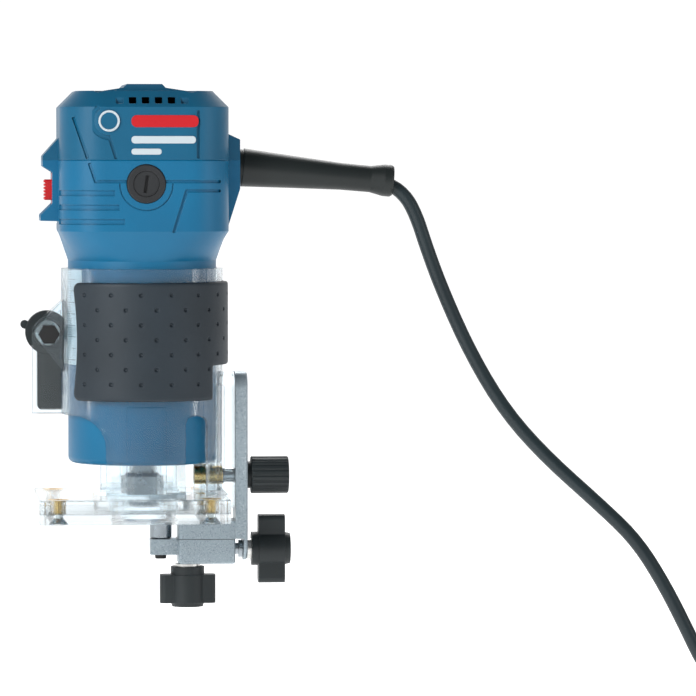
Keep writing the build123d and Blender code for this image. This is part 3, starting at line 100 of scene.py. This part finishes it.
def coil_point(turns):
    """A control point of the coil, that many turns after the cable reaches it."""
    layer = min(int(turns / TURNS_PER_LAYER), COIL_LAYERS - 1)
    part = min(turns / TURNS_PER_LAYER - layer, 1.0)
    across = part if layer % 2 == 0 else 1.0 - part
    radius = COIL_MID_RADIUS + TURN_PITCH * (1.0 - 2.0 * across)
    drop = 0.0
    for edge in range(1, COIL_LAYERS):
        past = turns - edge * TURNS_PER_LAYER
        step = (past + LAYER_CHANGE_TURNS) / (2 * LAYER_CHANGE_TURNS)
        step = min(max(step, 0.0), 1.0)
        drop += step * step * (3 - 2 * step)
    radius /= math.cos(math.pi / POINTS_PER_TURN)
    angle = (turns - 0.25) * math.tau
    x = COIL_CENTRE[0] + radius * math.cos(angle)
    y = COIL_CENTRE[1] + radius * math.sin(angle)
    return (x, y, TOP_TURN_Z - TURN_PITCH * drop)


coil_steps = TURNS_PER_LAYER * COIL_LAYERS * POINTS_PER_TURN
coil_points = [coil_point(step / POINTS_PER_TURN) for step in range(1, coil_steps)]
route_points = FALL_POINTS + coil_points + LEAD_POINTS
print("cable points", len(route_points))

# %% Cable as a tube along its line


def pick_only(*things):
    """Select these objects and nothing else; the first becomes the active one."""
    bpy.ops.object.select_all(action="DESELECT")
    for thing in things:
        thing.select_set(True)
    bpy.context.view_layer.objects.active = things[0]


def nurbs_line(name, points):
    """A smooth NURBS curve object through the neighbourhood of these points, in millimetres."""
    curve = bpy.data.curves.new(name, "CURVE")
    curve.dimensions = "3D"
    spline = curve.splines.new("NURBS")
    spline.points.add(len(points) - 1)
    for point, place in zip(spline.points, points):
        point.co = (place[0] * MM, place[1] * MM, place[2] * MM, 1.0)
    spline.order_u = 3
    spline.use_endpoint_u = True
    curve.resolution_u = 4
    line = bpy.data.objects.new(name, curve)
    bpy.context.scene.collection.objects.link(line)
    return line


def line_points(line):
    """The points of a curve that has no bevel, in order."""
    sampled = bpy.data.meshes.new_from_object(line)
    points = [vertex.co.copy() for vertex in sampled.vertices]
    bpy.data.meshes.remove(sampled)
    return points


cable = nurbs_line("cable", route_points)
cable_path = line_points(cable)
cable_run = sum((b - a).length for a, b in zip(cable_path, cable_path[1:]))
cable.data.bevel_depth = CORD_RADIUS * MM
cable.data.bevel_resolution = 3
cable.data.use_fill_caps = True
pick_only(cable)
bpy.ops.object.convert(target="MESH")
cable = bpy.context.object
bpy.ops.object.shade_smooth()
print("cable length", round(cable_run, 3), "faces", len(cable.data.polygons))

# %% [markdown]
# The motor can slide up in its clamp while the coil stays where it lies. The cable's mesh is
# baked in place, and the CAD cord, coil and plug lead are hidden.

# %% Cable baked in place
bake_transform(cable)
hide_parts("power_cord", "cord_coil", "plug_lead")

# %% [markdown]
# ## Shader tools
# A material is a small sum of masks and noises. Writing it as plain arithmetic keeps it readable:
# `Value` wraps one output of the node tree and its operators add Math nodes, and `Recipe.node`
# adds any other node from its type, its settings and the values of its sockets.

# %% Shader tools


class Value:
    """One output of a material's node tree; arithmetic on it adds Math nodes."""

    def __init__(self, recipe, socket):
        self.recipe = recipe
        self.socket = socket

    def math(self, operation, first, second):
        settings = {"operation": operation}
        return self.recipe.node("ShaderNodeMath", settings, {0: first, 1: second})

    def __add__(self, other):
        return self.math("ADD", self, other)

    def __radd__(self, other):
        return self.math("ADD", other, self)

    def __sub__(self, other):
        return self.math("SUBTRACT", self, other)

    def __rsub__(self, other):
        return self.math("SUBTRACT", other, self)

    def __mul__(self, other):
        return self.math("MULTIPLY", self, other)

    def __lt__(self, other):
        return self.math("LESS_THAN", self, other)


class Recipe:
    """A material being written: it adds nodes and ends in a Principled shader."""

    def __init__(self, name):
        self.material = bpy.data.materials.new(name)
        self.material.use_nodes = True
        self.tree = self.material.node_tree
        self.tree.nodes.clear()
        self.place = self.node("ShaderNodeTexCoord", {}, {}, "Object")

    def node(self, kind, settings, inputs, output=0):
        made = self.tree.nodes.new(kind)
        for name, value in settings.items():
            setattr(made, name, value)
        for name, value in inputs.items():
            if isinstance(value, Value):
                self.tree.links.new(value.socket, made.inputs[name])
            else:
                made.inputs[name].default_value = value
        return Value(self, made.outputs[output])

    def part_of_place(self, axis):
        """The X, Y or Z of the place on the object, for axis 0, 1 or 2, in metres."""
        parts = self.tree.nodes.new("ShaderNodeSeparateXYZ")
        self.tree.links.new(self.place.socket, parts.inputs[0])
        return Value(self, parts.outputs[axis])

    def noise(self, size, detail=2.0, roughness=0.5):
        """Noise from 0 to 1 whose blotches are about this many millimetres across."""
        inputs = {"Vector": self.place, "Scale": 1.0 / (size * MM), "Detail": detail, "Roughness": roughness}
        return self.node("ShaderNodeTexNoise", {}, inputs, 0)

    def between(self, value, low, high):
        """Rescale a value from the range low..high to 0..1, clamped."""
        inputs = {"Value": value, "From Min": low, "From Max": high}
        return self.node("ShaderNodeMapRange", {}, inputs, 0)

    def mix(self, factor, first, second):
        """Blend two colours by a factor."""
        made = self.tree.nodes.new("ShaderNodeMix")
        made.data_type = "RGBA"
        for index, value in ((0, factor), (6, first), (7, second)):
            if isinstance(value, Value):
                self.tree.links.new(value.socket, made.inputs[index])
            else:
                made.inputs[index].default_value = value
        return Value(self, made.outputs[2])

    def rounded(self, radius):
        """A normal that rounds sharp edges by this many millimetres."""
        return self.node("ShaderNodeBevel", {"samples": 4}, {"Radius": radius * MM})

    def edge_wear_and_painted_shade(self, radius):
        """A mask that is 1 on the outer edges and 0 elsewhere: wear where hands and benches rub, and on the
        clear base painted shade along the edges.
        """
        plain = self.node("ShaderNodeNewGeometry", {}, {}, "Normal")
        soft = self.rounded(radius)
        likeness = self.node(
            "ShaderNodeVectorMath", {"operation": "DOT_PRODUCT"}, {0: plain, 1: soft}, "Value"
        )
        return self.between(1.0 - likeness, 0.02, 0.25)

    def bump(self, height, depth, radius=0.0):
        """A normal with this height map, its full height given in millimetres."""
        inputs = {"Height": height, "Distance": depth * MM, "Strength": 1.0}
        if radius:
            inputs["Normal"] = self.rounded(radius)
        return self.node("ShaderNodeBump", {}, inputs)

    def finish(self, **inputs):
        """Add the Principled shader with these sockets and return the material."""
        names = {key.replace("_", " "): value for key, value in inputs.items()}
        shader = self.node("ShaderNodeBsdfPrincipled", {}, names)
        output = self.tree.nodes.new("ShaderNodeOutputMaterial")
        self.tree.links.new(shader.socket, output.inputs["Surface"])
        return self.material


def paint(red, green, blue):
    """A colour given as a screen colour from 0 to 255, turned into linear light."""
    parts = [value / 255 for value in (red, green, blue)]
    linear = [part / 12.92 if part < 0.04045 else ((part + 0.055) / 1.055) ** 2.4 for part in parts]
    return (*linear, 1.0)


# %% [markdown]
# ## Materials
# The housing is glass-filled nylon in a petrol blue. Such a moulding has a fine spark-eroded
# grain, so its highlights are broad and soft, and its colour drifts a little from place to place.

# %% Moulded plastics


def moulded_plastic(name, colour, dark, grain, grain_depth, roughness, edge_colour, edge_radius=0.35):
    """A tough moulded plastic: fine grain, slight colour drift, lighter rubbed edges."""
    recipe = Recipe(name)
    drift = recipe.between(recipe.noise(38, 3.0), 0.3, 0.7)
    grain_height = recipe.noise(grain, 2.0, 0.6)
    speck = recipe.between(recipe.noise(grain * 2.2, 1.0), 0.35, 0.65)
    base = recipe.mix(drift, colour, dark)
    base = recipe.mix(speck * 0.12, base, dark)
    scuffs = recipe.between(recipe.noise(5.5, 5.0, 0.7), 0.55, 0.8)
    rubbed = recipe.edge_wear_and_painted_shade(edge_radius * 1.6) * recipe.between(recipe.noise(9, 3.0), 0.35, 0.7)
    base = recipe.mix(rubbed * 0.35, base, edge_colour)
    rough = roughness + drift * 0.05 + scuffs * 0.06 - rubbed * 0.08
    normal = recipe.bump(grain_height, grain_depth, edge_radius)
    return recipe.finish(Base_Color=base, Roughness=rough, Normal=normal, Specular_IOR_Level=0.36)


housing_plastic = moulded_plastic(
    "housing_plastic", paint(0, 102, 142), paint(0, 92, 130), grain=0.32, grain_depth=0.018,
    roughness=0.36, edge_colour=paint(40, 120, 150),
)
cover_plastic = moulded_plastic(
    "cover_plastic", paint(0, 90, 124), paint(0, 79, 110), grain=0.32, grain_depth=0.018,
    roughness=0.38, edge_colour=paint(35, 105, 132),
)
knob_plastic = moulded_plastic(
    "knob_plastic", paint(34, 41, 43), paint(26, 32, 34), grain=0.45, grain_depth=0.03,
    roughness=0.44, edge_colour=paint(76, 84, 86), edge_radius=0.5,
)
relief_plastic = moulded_plastic(
    "relief_plastic", paint(30, 36, 36), paint(23, 28, 28), grain=0.4, grain_depth=0.02,
    roughness=0.42, edge_colour=paint(60, 66, 66), edge_radius=0.4,
)
inner_plastic = moulded_plastic(
    "inner_plastic", paint(40, 42, 45), paint(30, 32, 34), grain=0.4, grain_depth=0.02,
    roughness=0.45, edge_colour=paint(80, 80, 82),
)
red_plastic = moulded_plastic(
    "red_plastic", paint(200, 28, 32), paint(180, 22, 28), grain=0.3, grain_depth=0.01,
    roughness=0.3, edge_colour=paint(225, 90, 85),
)
grip_rubber = moulded_plastic(
    "grip_rubber", paint(38, 48, 56), paint(30, 39, 46), grain=0.5, grain_depth=0.035,
    roughness=0.5, edge_colour=paint(62, 72, 80), edge_radius=0.6,
)
cord_vinyl = moulded_plastic(
    "cord_vinyl", paint(34, 46, 50), paint(28, 38, 42), grain=0.6, grain_depth=0.012,
    roughness=0.36, edge_colour=paint(34, 46, 50), edge_radius=0.1,
)
print("plastics made")

# %% [markdown]
# Turned steel shows fine rings, and the same rings at a wider pitch stand for stacked sheet and
# wound wire. Zinc plating is brighter with small blotches, and the guide is an aluminium casting
# sprayed with a speckled silver paint. The clamp bolt and the roller's pin stand for blackened
# steel and borrow the dull black of the carbon brushes, which isn't a metal.

# %% Metals


def turned_metal(name, colour, roughness, ring_pitch, ring_depth):
    """A metal with fine level rings, as a tool leaves that cuts round the Z axis."""
    recipe = Recipe(name)
    height = recipe.part_of_place(2)
    rings = recipe.node("ShaderNodeMath", {"operation": "SINE"}, {0: height * (math.tau / (ring_pitch * MM))})
    blotch = recipe.between(recipe.noise(3.0, 4.0), 0.3, 0.75)
    shade = recipe.mix(blotch * 0.35, colour, tuple(0.72 * part for part in colour[:3]) + (1.0,))
    edges = recipe.edge_wear_and_painted_shade(0.3)
    shade = recipe.mix(edges * 0.5, shade, (0.9, 0.9, 0.9, 1.0))
    rough = roughness + blotch * 0.12
    normal = recipe.bump(rings + blotch, ring_depth, 0.2)
    return recipe.finish(Base_Color=shade, Metallic=1.0, Roughness=rough, Normal=normal)


def plated_metal(name, colour, roughness, tarnish):
    """Sheet or cast metal with a blotchy plating and brighter edges."""
    recipe = Recipe(name)
    blotch = recipe.between(recipe.noise(2.5, 5.0, 0.6), 0.35, 0.7)
    fine = recipe.noise(0.4, 2.0)
    shade = recipe.mix(blotch * 0.4, colour, tarnish)
    shade = recipe.mix(recipe.edge_wear_and_painted_shade(0.3) * 0.5, shade, (0.92, 0.92, 0.9, 1.0))
    normal = recipe.bump(fine, 0.006, 0.2)
    return recipe.finish(Base_Color=shade, Metallic=1.0, Roughness=roughness + blotch * 0.15, Normal=normal)


def speckled_paint(name, colour, dark, light):
    """Silver hammer paint: a fine orange peel with dark and bright metallic specks."""
    recipe = Recipe(name)
    speck = recipe.noise(0.55, 2.0, 0.6)
    dark_speck = recipe.between(speck, 0.56, 0.66)
    light_speck = recipe.between(recipe.noise(0.42, 1.0), 0.6, 0.7)
    shade = recipe.mix(dark_speck * 0.55, colour, dark)
    shade = recipe.mix(light_speck * 0.6, shade, light)
    edges = recipe.edge_wear_and_painted_shade(0.5) * recipe.between(recipe.noise(4.0, 3.0), 0.4, 0.6)
    shade = recipe.mix(edges * 0.6, shade, light)
    rough = 0.38 + dark_speck * 0.12 - light_speck * 0.1
    normal = recipe.bump(speck, 0.04, 0.4)
    return recipe.finish(Base_Color=shade, Metallic=0.45, Roughness=rough, Normal=normal, Coat_Weight=0.15)


steel = turned_metal(
    "steel", (0.34, 0.38, 0.41, 1.0), roughness=0.24, ring_pitch=0.35, ring_depth=0.006
)
zinc = plated_metal(
    "zinc", (0.72, 0.72, 0.70, 1.0), roughness=0.24, tarnish=(0.45, 0.44, 0.40, 1.0)
)
brass = plated_metal(
    "brass", (0.80, 0.56, 0.22, 1.0), roughness=0.22, tarnish=(0.55, 0.33, 0.12, 1.0)
)
copper = turned_metal(
    "copper", (0.78, 0.36, 0.18, 1.0), roughness=0.35, ring_pitch=0.8, ring_depth=0.08
)
lamination = turned_metal(
    "lamination", (0.30, 0.30, 0.31, 1.0), roughness=0.42, ring_pitch=0.7, ring_depth=0.05
)
cast_paint = speckled_paint("cast_paint", paint(150, 164, 172), paint(70, 82, 90), paint(215, 225, 230))
carbon = moulded_plastic(
    "carbon", paint(30, 30, 31), paint(20, 20, 21), grain=0.2, grain_depth=0.01,
    roughness=0.5, edge_colour=paint(70, 70, 70),
)
print("metals made")

# %% [markdown]
# The base is moulded in clear polycarbonate. Light must pass through its real thickness, so the
# shader transmits, and lets a share of the light straight through. Its index is set below that of
# the real plastic, which bends the view behind it less. The edges are painted darker, a painted
# shade for the dark lines along the edges of clear plastic, and are made more solid. Faint flow
# lines and scratches keep it from looking like perfect glass.

# %% Clear plastic


def clear_plastic(name, tint, painted_edge_shade):
    """Clear polycarbonate: fine scratches, faint flow lines and edges painted darker as painted shade."""
    recipe = Recipe(name)
    haze = recipe.between(recipe.noise(14, 4.0, 0.6), 0.45, 0.75)
    scratch = recipe.between(recipe.noise(0.9, 6.0, 0.75), 0.62, 0.8)
    flow = recipe.noise(22, 1.0)
    # Painted shade: along the edges the colour darkens towards the edge shade, and the plastic is made more
    # solid.
    edges = recipe.edge_wear_and_painted_shade(0.7)
    shade = recipe.mix(edges * 0.85, tint, painted_edge_shade)
    normal = recipe.bump(flow, 0.03, 0.35)
    rough = 0.01 + haze * 0.015 + scratch * 0.05
    return recipe.finish(
        Base_Color=shade, Roughness=rough, Normal=normal, Alpha=0.72 + edges * 0.28,
        Transmission_Weight=1.0, IOR=1.45,
    )


# The last colour is the painted shade along the base's edges.
clear_base = clear_plastic("clear_plastic", (0.80, 0.89, 0.93, 1.0), paint(70, 98, 118))

# %% [markdown]
# Each CAD node now gets its finish. A node keeps its mesh; only its material slot changes.

# %% Dress the CAD nodes


def dress(material, *names):
    """Give these CAD nodes this material."""
    for name in names:
        nodes[name].data.materials.clear()
        nodes[name].data.materials.append(material)


dress(housing_plastic, "motor_housing")
dress(cover_plastic, "top_cover")
dress(steel, "spindle_shaft", "collet", "collet_nut", "lower_bearing", "upper_bearing", "roller",
      "arm_stud", "adjust_screw", "lock_bolt", "brush_spring_front", "brush_spring_rear")
dress(zinc, "cover_screws", "sole_screws", "clamp_washer", "clamp_nut", "lock_washer",
      "adjust_bush")
dress(lamination, "armature_core", "stator_core")
dress(copper, "armature_windings", "stator_windings", "commutator")
dress(brass, "brass_bushes", "stud_bush", "plug_pins")
dress(carbon, "carbon_brush_front", "carbon_brush_rear", "clamp_bolt", "roller_pin")
dress(inner_plastic, "cooling_fan", "bearing_bridge", "brush_holder_front", "brush_holder_rear",
      "brush_cap_front", "brush_cap_rear", "switch_link", "switch_module", "cable_clamp")
dress(red_plastic, "switch_slider")
dress(clear_base, "base_frame", "sole_plate")
dress(knob_plastic, "clamp_lever", "arm_knob", "adjust_knob", "lock_knob")
dress(relief_plastic, "strain_relief", "mains_plug", "cord_tie")
dress(cast_paint, "guide_arm", "roller_block")
cable.data.materials.clear()
cable.data.materials.append(cord_vinyl)
print("nodes dressed")

# %% [markdown]
# The depth scale is a printed foil on the barrel: pale, with a tick each millimetre and a longer
# one each five. The ticks follow the height, so they are stripes of the Z coordinate. They start
# at the foil's left edge, and a second mask on X sets how far they reach from it.

# %% Printed depth scale
SHORT_TICK_STEP = 1.0
LONG_TICK_STEP = 5.0
SHORT_TICK_WIDTH = 0.22
LONG_TICK_WIDTH = 0.3
SHORT_TICK_END_X = -30.1
LONG_TICK_END_X = -28.8


def tick_marks(recipe, across, height, step, width, end_x):
    """A mask of level lines, one each step of the height, from the left edge to end_x."""
    phase = recipe.node("ShaderNodeMath", {"operation": "FRACT"}, {0: height * (1 / (step * MM))})
    return (phase < width / step) * (across < end_x * MM)


def printed_scale(name):
    """A pale foil with dark ticks, spaced along Z and lying along one edge of the foil."""
    recipe = Recipe(name)
    across = recipe.part_of_place(0)
    height = recipe.part_of_place(2)
    short = tick_marks(recipe, across, height, SHORT_TICK_STEP, SHORT_TICK_WIDTH, SHORT_TICK_END_X)
    long = tick_marks(recipe, across, height, LONG_TICK_STEP, LONG_TICK_WIDTH, LONG_TICK_END_X)
    ticks = recipe.node("ShaderNodeMath", {"operation": "MAXIMUM"}, {0: short, 1: long})
    drift = recipe.between(recipe.noise(6, 3.0), 0.3, 0.7)
    foil = recipe.mix(drift * 0.5, paint(214, 232, 240), paint(190, 214, 226))
    shade = recipe.mix(ticks * 0.9, foil, paint(40, 70, 90))
    return recipe.finish(Base_Color=shade, Roughness=0.3 + drift * 0.08)


scale_foil = printed_scale("scale_foil")
dress(scale_foil, "depth_scale")

# %% [markdown]
# ## The rubber grip
# The grip is a soft moulded sleeve that wraps the clear base and leaves the clamp free. Rows of
# small pits, each row shifted by half a step, give the fingers hold. It is easiest to shape flat:
# a grid whose cells are as wide as a pit, given its thickness, with the pits pressed in by insets,
# and then wrapped round the sleeve. Subdivision rounds the pits and softens the rim.

# %% Grip pattern
GRIP_OUTER = 37.7
GRIP_THICKNESS = 2.15
GRIP_LOW = 52.6
GRIP_HIGH = 104.1
CELL_ANGLE = 3.4
PIT_COLUMN_STEP = 6
FIRST_PIT_ANGLE = -134.3
FIRST_PIT_Z = 98.8
PIT_ROW_STEP = 6.5
PIT_ROWS = 7
CELL_HEIGHT = PIT_ROW_STEP / 3
SAME_CELL = 0.4
NOTCH_HALF_ANGLE = 39.0
NOTCH_TOP = 66.6
EDGE_ANGLE = 141.0
EDGE_REACH = 5.0
CORNER_RADIUS = 3.2
DEGREE_MM = math.radians(1.0) * GRIP_OUTER
PIT_EDGE_GAP = 2.5
PIT_NOTCH_GAP = 3.0
PIT_STEPS = ((0.02, 0.0), (0.22, -0.45), (0.35, -0.4))


def edge_shift(angle, height):
    """How far the grip's upright edges move outwards at this height, in degrees."""
    blend_width = 2 * CELL_ANGLE
    share = (abs(angle) - (EDGE_ANGLE - blend_width)) / blend_width
    share = min(max(share, 0.0), 1.0)
    middle = (GRIP_LOW + GRIP_HIGH) / 2
    away = abs(height - middle) / ((GRIP_HIGH - GRIP_LOW) / 2)
    shift = EDGE_REACH * away**2
    to_end = max(1.0 - away, 0.0) * (GRIP_HIGH - GRIP_LOW) / 2
    if to_end < CORNER_RADIUS:
        arc = math.sqrt(CORNER_RADIUS**2 - (CORNER_RADIUS - to_end) ** 2)
        shift -= (CORNER_RADIUS - arc) / DEGREE_MM
    return math.copysign(shift * share, angle)


def is_pit(angle, height):
    """True for the middle of a cell that has a pit."""
    row = round((FIRST_PIT_Z - height) / PIT_ROW_STEP)
    off_row = abs(FIRST_PIT_Z - row * PIT_ROW_STEP - height)
    if not 0 <= row < PIT_ROWS or off_row > SAME_CELL * CELL_HEIGHT:
        return False
    step = PIT_COLUMN_STEP * CELL_ANGLE
    start = FIRST_PIT_ANGLE + (step / 2 if row % 2 else 0.0)
    column = round((angle - start) / step)
    near = abs(start + column * step - angle) < SAME_CELL * CELL_ANGLE
    beside_notch = height < NOTCH_TOP + PIT_NOTCH_GAP and abs(angle) < NOTCH_HALF_ANGLE + PIT_NOTCH_GAP
    return near and abs(angle) < EDGE_ANGLE - PIT_EDGE_GAP and not beside_notch


# %% Grip mesh


def select_faces(thing, chosen):
    """Select the faces that the test picks, and nothing else, and go to edit mode."""
    pick_only(thing)
    bpy.ops.object.mode_set(mode="EDIT")
    bpy.ops.mesh.select_mode(type="FACE")
    bpy.ops.mesh.select_all(action="DESELECT")
    bpy.ops.object.mode_set(mode="OBJECT")
    for face in thing.data.polygons:
        face.select = chosen(face)
    bpy.ops.object.mode_set(mode="EDIT")


def press(thing, chosen, *steps):
    """Inset the chosen faces one by one; each step is (width, depth) in millimetres."""
    select_faces(thing, chosen)
    for width, depth in steps:
        bpy.ops.mesh.inset(thickness=width * MM, depth=depth * MM, use_individual=True)
    bpy.ops.object.mode_set(mode="OBJECT")


def modify(thing, kind, **settings):
    """Add a modifier with these settings and apply it."""
    pick_only(thing)
    modifier = thing.modifiers.new(kind.title(), kind)
    for name, value in settings.items():
        setattr(modifier, name, value)
    bpy.ops.object.modifier_apply(modifier=modifier.name)


first_column = FIRST_PIT_ANGLE - 2.5 * CELL_ANGLE
columns = round((EDGE_ANGLE - first_column) / CELL_ANGLE)
rows = round((GRIP_HIGH - GRIP_LOW) / CELL_HEIGHT)
bpy.ops.object.select_all(action="DESELECT")
bpy.ops.mesh.primitive_grid_add(x_subdivisions=columns, y_subdivisions=rows, size=1.0)
grip = bpy.context.object
grip.name = "dimpled_grip"
wide = columns * CELL_ANGLE
tall = rows * CELL_HEIGHT
lowest = FIRST_PIT_Z + 2.5 * CELL_HEIGHT - tall
for vertex in grip.data.vertices:
    vertex.co.x = (vertex.co.x + 0.5) * wide + first_column
    vertex.co.y = (vertex.co.y + 0.5) * tall + lowest
    vertex.co *= MM
select_faces(
    grip,
    lambda face: abs(face.center.x / MM) < NOTCH_HALF_ANGLE and face.center.y / MM < NOTCH_TOP,
)
bpy.ops.mesh.delete(type="FACE")
bpy.ops.object.mode_set(mode="OBJECT")
modify(grip, "SOLIDIFY", thickness=GRIP_THICKNESS * MM, offset=-1.0)
press(
    grip,
    lambda face: face.normal.z > 0.9 and is_pit(face.center.x / MM, face.center.y / MM),
    *PIT_STEPS,
)
for vertex in grip.data.vertices:
    angle, height = vertex.co.x / MM, vertex.co.y / MM
    height = GRIP_LOW + (height - lowest) * (GRIP_HIGH - GRIP_LOW) / tall
    turn = math.radians(angle + edge_shift(angle, height))
    radius = GRIP_OUTER + vertex.co.z / MM
    vertex.co = Vector((radius * math.cos(turn), radius * math.sin(turn), height)) * MM
modify(grip, "SUBSURF", levels=2, render_levels=2)
bpy.ops.object.shade_smooth()
grip.data.materials.append(grip_rubber)
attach(grip, "base")
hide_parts("grip_sleeve")
print("grip faces", len(grip.data.polygons))

# %% [markdown]
# ## Printed marks
# Makers print a badge and a few words on the cover. Here plain marks take their place: a ringed
# disc, a red bar and two pale bars, each a thin raised film with rounded ends.

# %% Marks on the cover
FRONT_Y = -37.0
FILM = 0.12
FILM_LIFT = 0.02
BAR_LEFT = -6.4
BADGE_X, BADGE_Z = -16.0, 173.9
BADGE_RADIUS = 4.6
BADGE_DEPTH = 0.8
BADGE_FORWARD = 0.35
BADGE_RIM = 0.8
BADGE_DISH = (0.15, -0.25)
BADGE_CENTRE_REACH = 0.5
BAR_ROUNDING = 0.45
pale_ink = moulded_plastic(
    "pale_ink", paint(190, 200, 205), paint(180, 190, 196), grain=0.3, grain_depth=0.004,
    roughness=0.4, edge_colour=paint(220, 225, 228),
)
red_ink = moulded_plastic(
    "red_ink", paint(190, 16, 28), paint(176, 12, 22), grain=0.3, grain_depth=0.004,
    roughness=0.4, edge_colour=paint(200, 40, 44),
)


def printed_bar(name, left, right, low, high, ink):
    """A thin film bar with rounded ends on the front of the cover."""
    bpy.ops.object.select_all(action="DESELECT")
    bpy.ops.mesh.primitive_plane_add(size=1.0, rotation=(math.radians(90), 0, 0))
    bar = bpy.context.object
    bar.name = name
    bar.scale = ((right - left) * MM, (high - low) * MM, 1.0)
    bar.location = ((left + right) / 2 * MM, (FRONT_Y - FILM_LIFT) * MM, (low + high) / 2 * MM)
    bpy.ops.object.transform_apply(location=True, rotation=True, scale=True)
    bpy.ops.object.mode_set(mode="EDIT")
    bpy.ops.mesh.select_all(action="SELECT")
    bpy.ops.mesh.bevel(
        offset=BAR_ROUNDING * (high - low) * MM, segments=8, affect="VERTICES", offset_type="OFFSET"
    )
    bpy.ops.mesh.extrude_region_move(TRANSFORM_OT_translate={"value": (0, -FILM * MM, 0)})
    bpy.ops.mesh.select_all(action="SELECT")
    bpy.ops.mesh.normals_make_consistent(inside=False)
    bpy.ops.object.mode_set(mode="OBJECT")
    bar.data.materials.append(ink)
    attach(bar, "motor")


printed_bar("mark_bar_red", BAR_LEFT, right=22.6, low=171.2, high=176.4, ink=red_ink)
printed_bar("mark_bar_wide", BAR_LEFT, right=21.4, low=164.2, high=167.4, ink=pale_ink)
printed_bar("mark_bar_short", BAR_LEFT, right=6.6, low=159.4, high=162.0, ink=pale_ink)

bpy.ops.object.select_all(action="DESELECT")
bpy.ops.mesh.primitive_cylinder_add(
    vertices=64, radius=BADGE_RADIUS * MM, depth=BADGE_DEPTH * MM, rotation=(math.radians(90), 0, 0),
    location=(BADGE_X * MM, (FRONT_Y - BADGE_FORWARD) * MM, BADGE_Z * MM),
)
badge = bpy.context.object
badge.name = "plain_badge"
bpy.ops.object.transform_apply(location=True, rotation=True, scale=True)
badge.data.materials.append(pale_ink)
badge.data.materials.append(cover_plastic)
press(badge, lambda face: face.normal.y < -0.9, (BADGE_RIM, 0.0), BADGE_DISH)
for face in badge.data.polygons:
    away = math.hypot(face.center.x / MM - BADGE_X, face.center.z / MM - BADGE_Z)
    face.material_index = 1 if face.normal.y < -0.9 and away < BADGE_CENTRE_REACH else 0
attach(badge, "motor")
print("marks made")

# %% [markdown]
# A dark strip behind the air inlets closes the view straight through the cover. It is a dark
# sheet that stands for the shade inside the housing, with a coarse grain. It is a guess, with no
# node of its own in the CAD.

# %% Dark strip behind the inlets, painted shade
STRIP_SIZE = (40.0, 3.0, 7.5)
STRIP_PLACE = (2.7, 0.0, 182.2)
STRIP_EDGE = 1.2
bpy.ops.object.select_all(action="DESELECT")
bpy.ops.mesh.primitive_cube_add(size=1.0)
strip = bpy.context.object
strip.name = "inlet_shade_strip"
strip.scale = Vector(STRIP_SIZE) * MM
strip.location = Vector(STRIP_PLACE) * MM
bpy.ops.object.transform_apply(location=True, rotation=True, scale=True)
modify(strip, "BEVEL", width=STRIP_EDGE * MM, segments=4)
bpy.ops.object.shade_smooth_by_angle(angle=math.radians(40))
# The strip's near-black finish is painted shade for the dark inside of the housing.
inlet_shade_finish = moulded_plastic(
    "inlet_shade_finish", paint(24, 26, 27), paint(16, 17, 18), grain=0.8, grain_depth=0.2,
    roughness=0.9, edge_colour=paint(40, 42, 44), edge_radius=0.8,
)
strip.data.materials.append(inlet_shade_finish)
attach(strip, "motor")
print("inlet shade strip made")

# %% [markdown]
# ## Floor and light
# A white sweep: a plain floor just under the coil that glows, so it stays white, a pale sky that is
# brighter behind the tool than in front of it, a large soft key light from the front left, a weaker
# one from the front right and a rim light from behind. The darker front sky keeps the plastics deep
# in colour.

# %% Floor and light
FLOOR_Z = -109.2
bpy.ops.object.select_all(action="DESELECT")
bpy.ops.mesh.primitive_plane_add(size=30.0, location=(0, 0, FLOOR_Z * MM))
floor = bpy.context.object
floor.name = "studio_floor"
floor_finish = Recipe("studio_floor")
floor.data.materials.append(
    floor_finish.finish(
        Base_Color=(0.7, 0.7, 0.7, 1.0), Roughness=0.9, Specular_IOR_Level=0.1,
        Emission_Color=(1.0, 1.0, 1.0, 1.0), Emission_Strength=0.9,
    )
)

world = bpy.data.worlds.new("studio")
bpy.context.scene.world = world
world.use_nodes = True
bpy.context.scene.view_settings.view_transform = "Standard"
sky_tree = world.node_tree
sky = sky_tree.nodes["Background"]
sky.inputs["Strength"].default_value = 1.0
direction = sky_tree.nodes.new("ShaderNodeTexCoord")
direction_parts = sky_tree.nodes.new("ShaderNodeSeparateXYZ")
sky_ramp = sky_tree.nodes.new("ShaderNodeValToRGB")
FRONT_SKY = (0.16, 0.17, 0.18, 1.0)
BACK_SKY = (1.05, 1.05, 1.05, 1.0)
for stop, position, colour in zip(sky_ramp.color_ramp.elements, (0.25, 0.9), (FRONT_SKY, BACK_SKY)):
    stop.position = position
    stop.color = colour
sky_tree.links.new(direction.outputs["Generated"], direction_parts.inputs[0])
sky_tree.links.new(direction_parts.outputs["Y"], sky_ramp.inputs["Fac"])
sky_tree.links.new(sky_ramp.outputs["Color"], sky.inputs["Color"])


def soft_light(name, place, target, size, power):
    """A square softbox at a place, turned towards a target."""
    data = bpy.data.lights.new(name, "AREA")
    data.energy = power
    data.size = size
    lamp = bpy.data.objects.new(name, data)
    bpy.context.scene.collection.objects.link(lamp)
    lamp.location = place
    lamp.rotation_euler = (Vector(target) - Vector(place)).to_track_quat("-Z", "Y").to_euler()


MID_TOOL = (0.0, 0.0, 0.1)
soft_light("key", (-1.3, -1.4, 0.9), MID_TOOL, size=0.7, power=34.0)
soft_light("fill", (1.6, -0.9, 0.5), MID_TOOL, size=0.8, power=4.0)
soft_light("rim", (0.3, 1.3, 1.2), MID_TOOL, size=0.8, power=10.0)
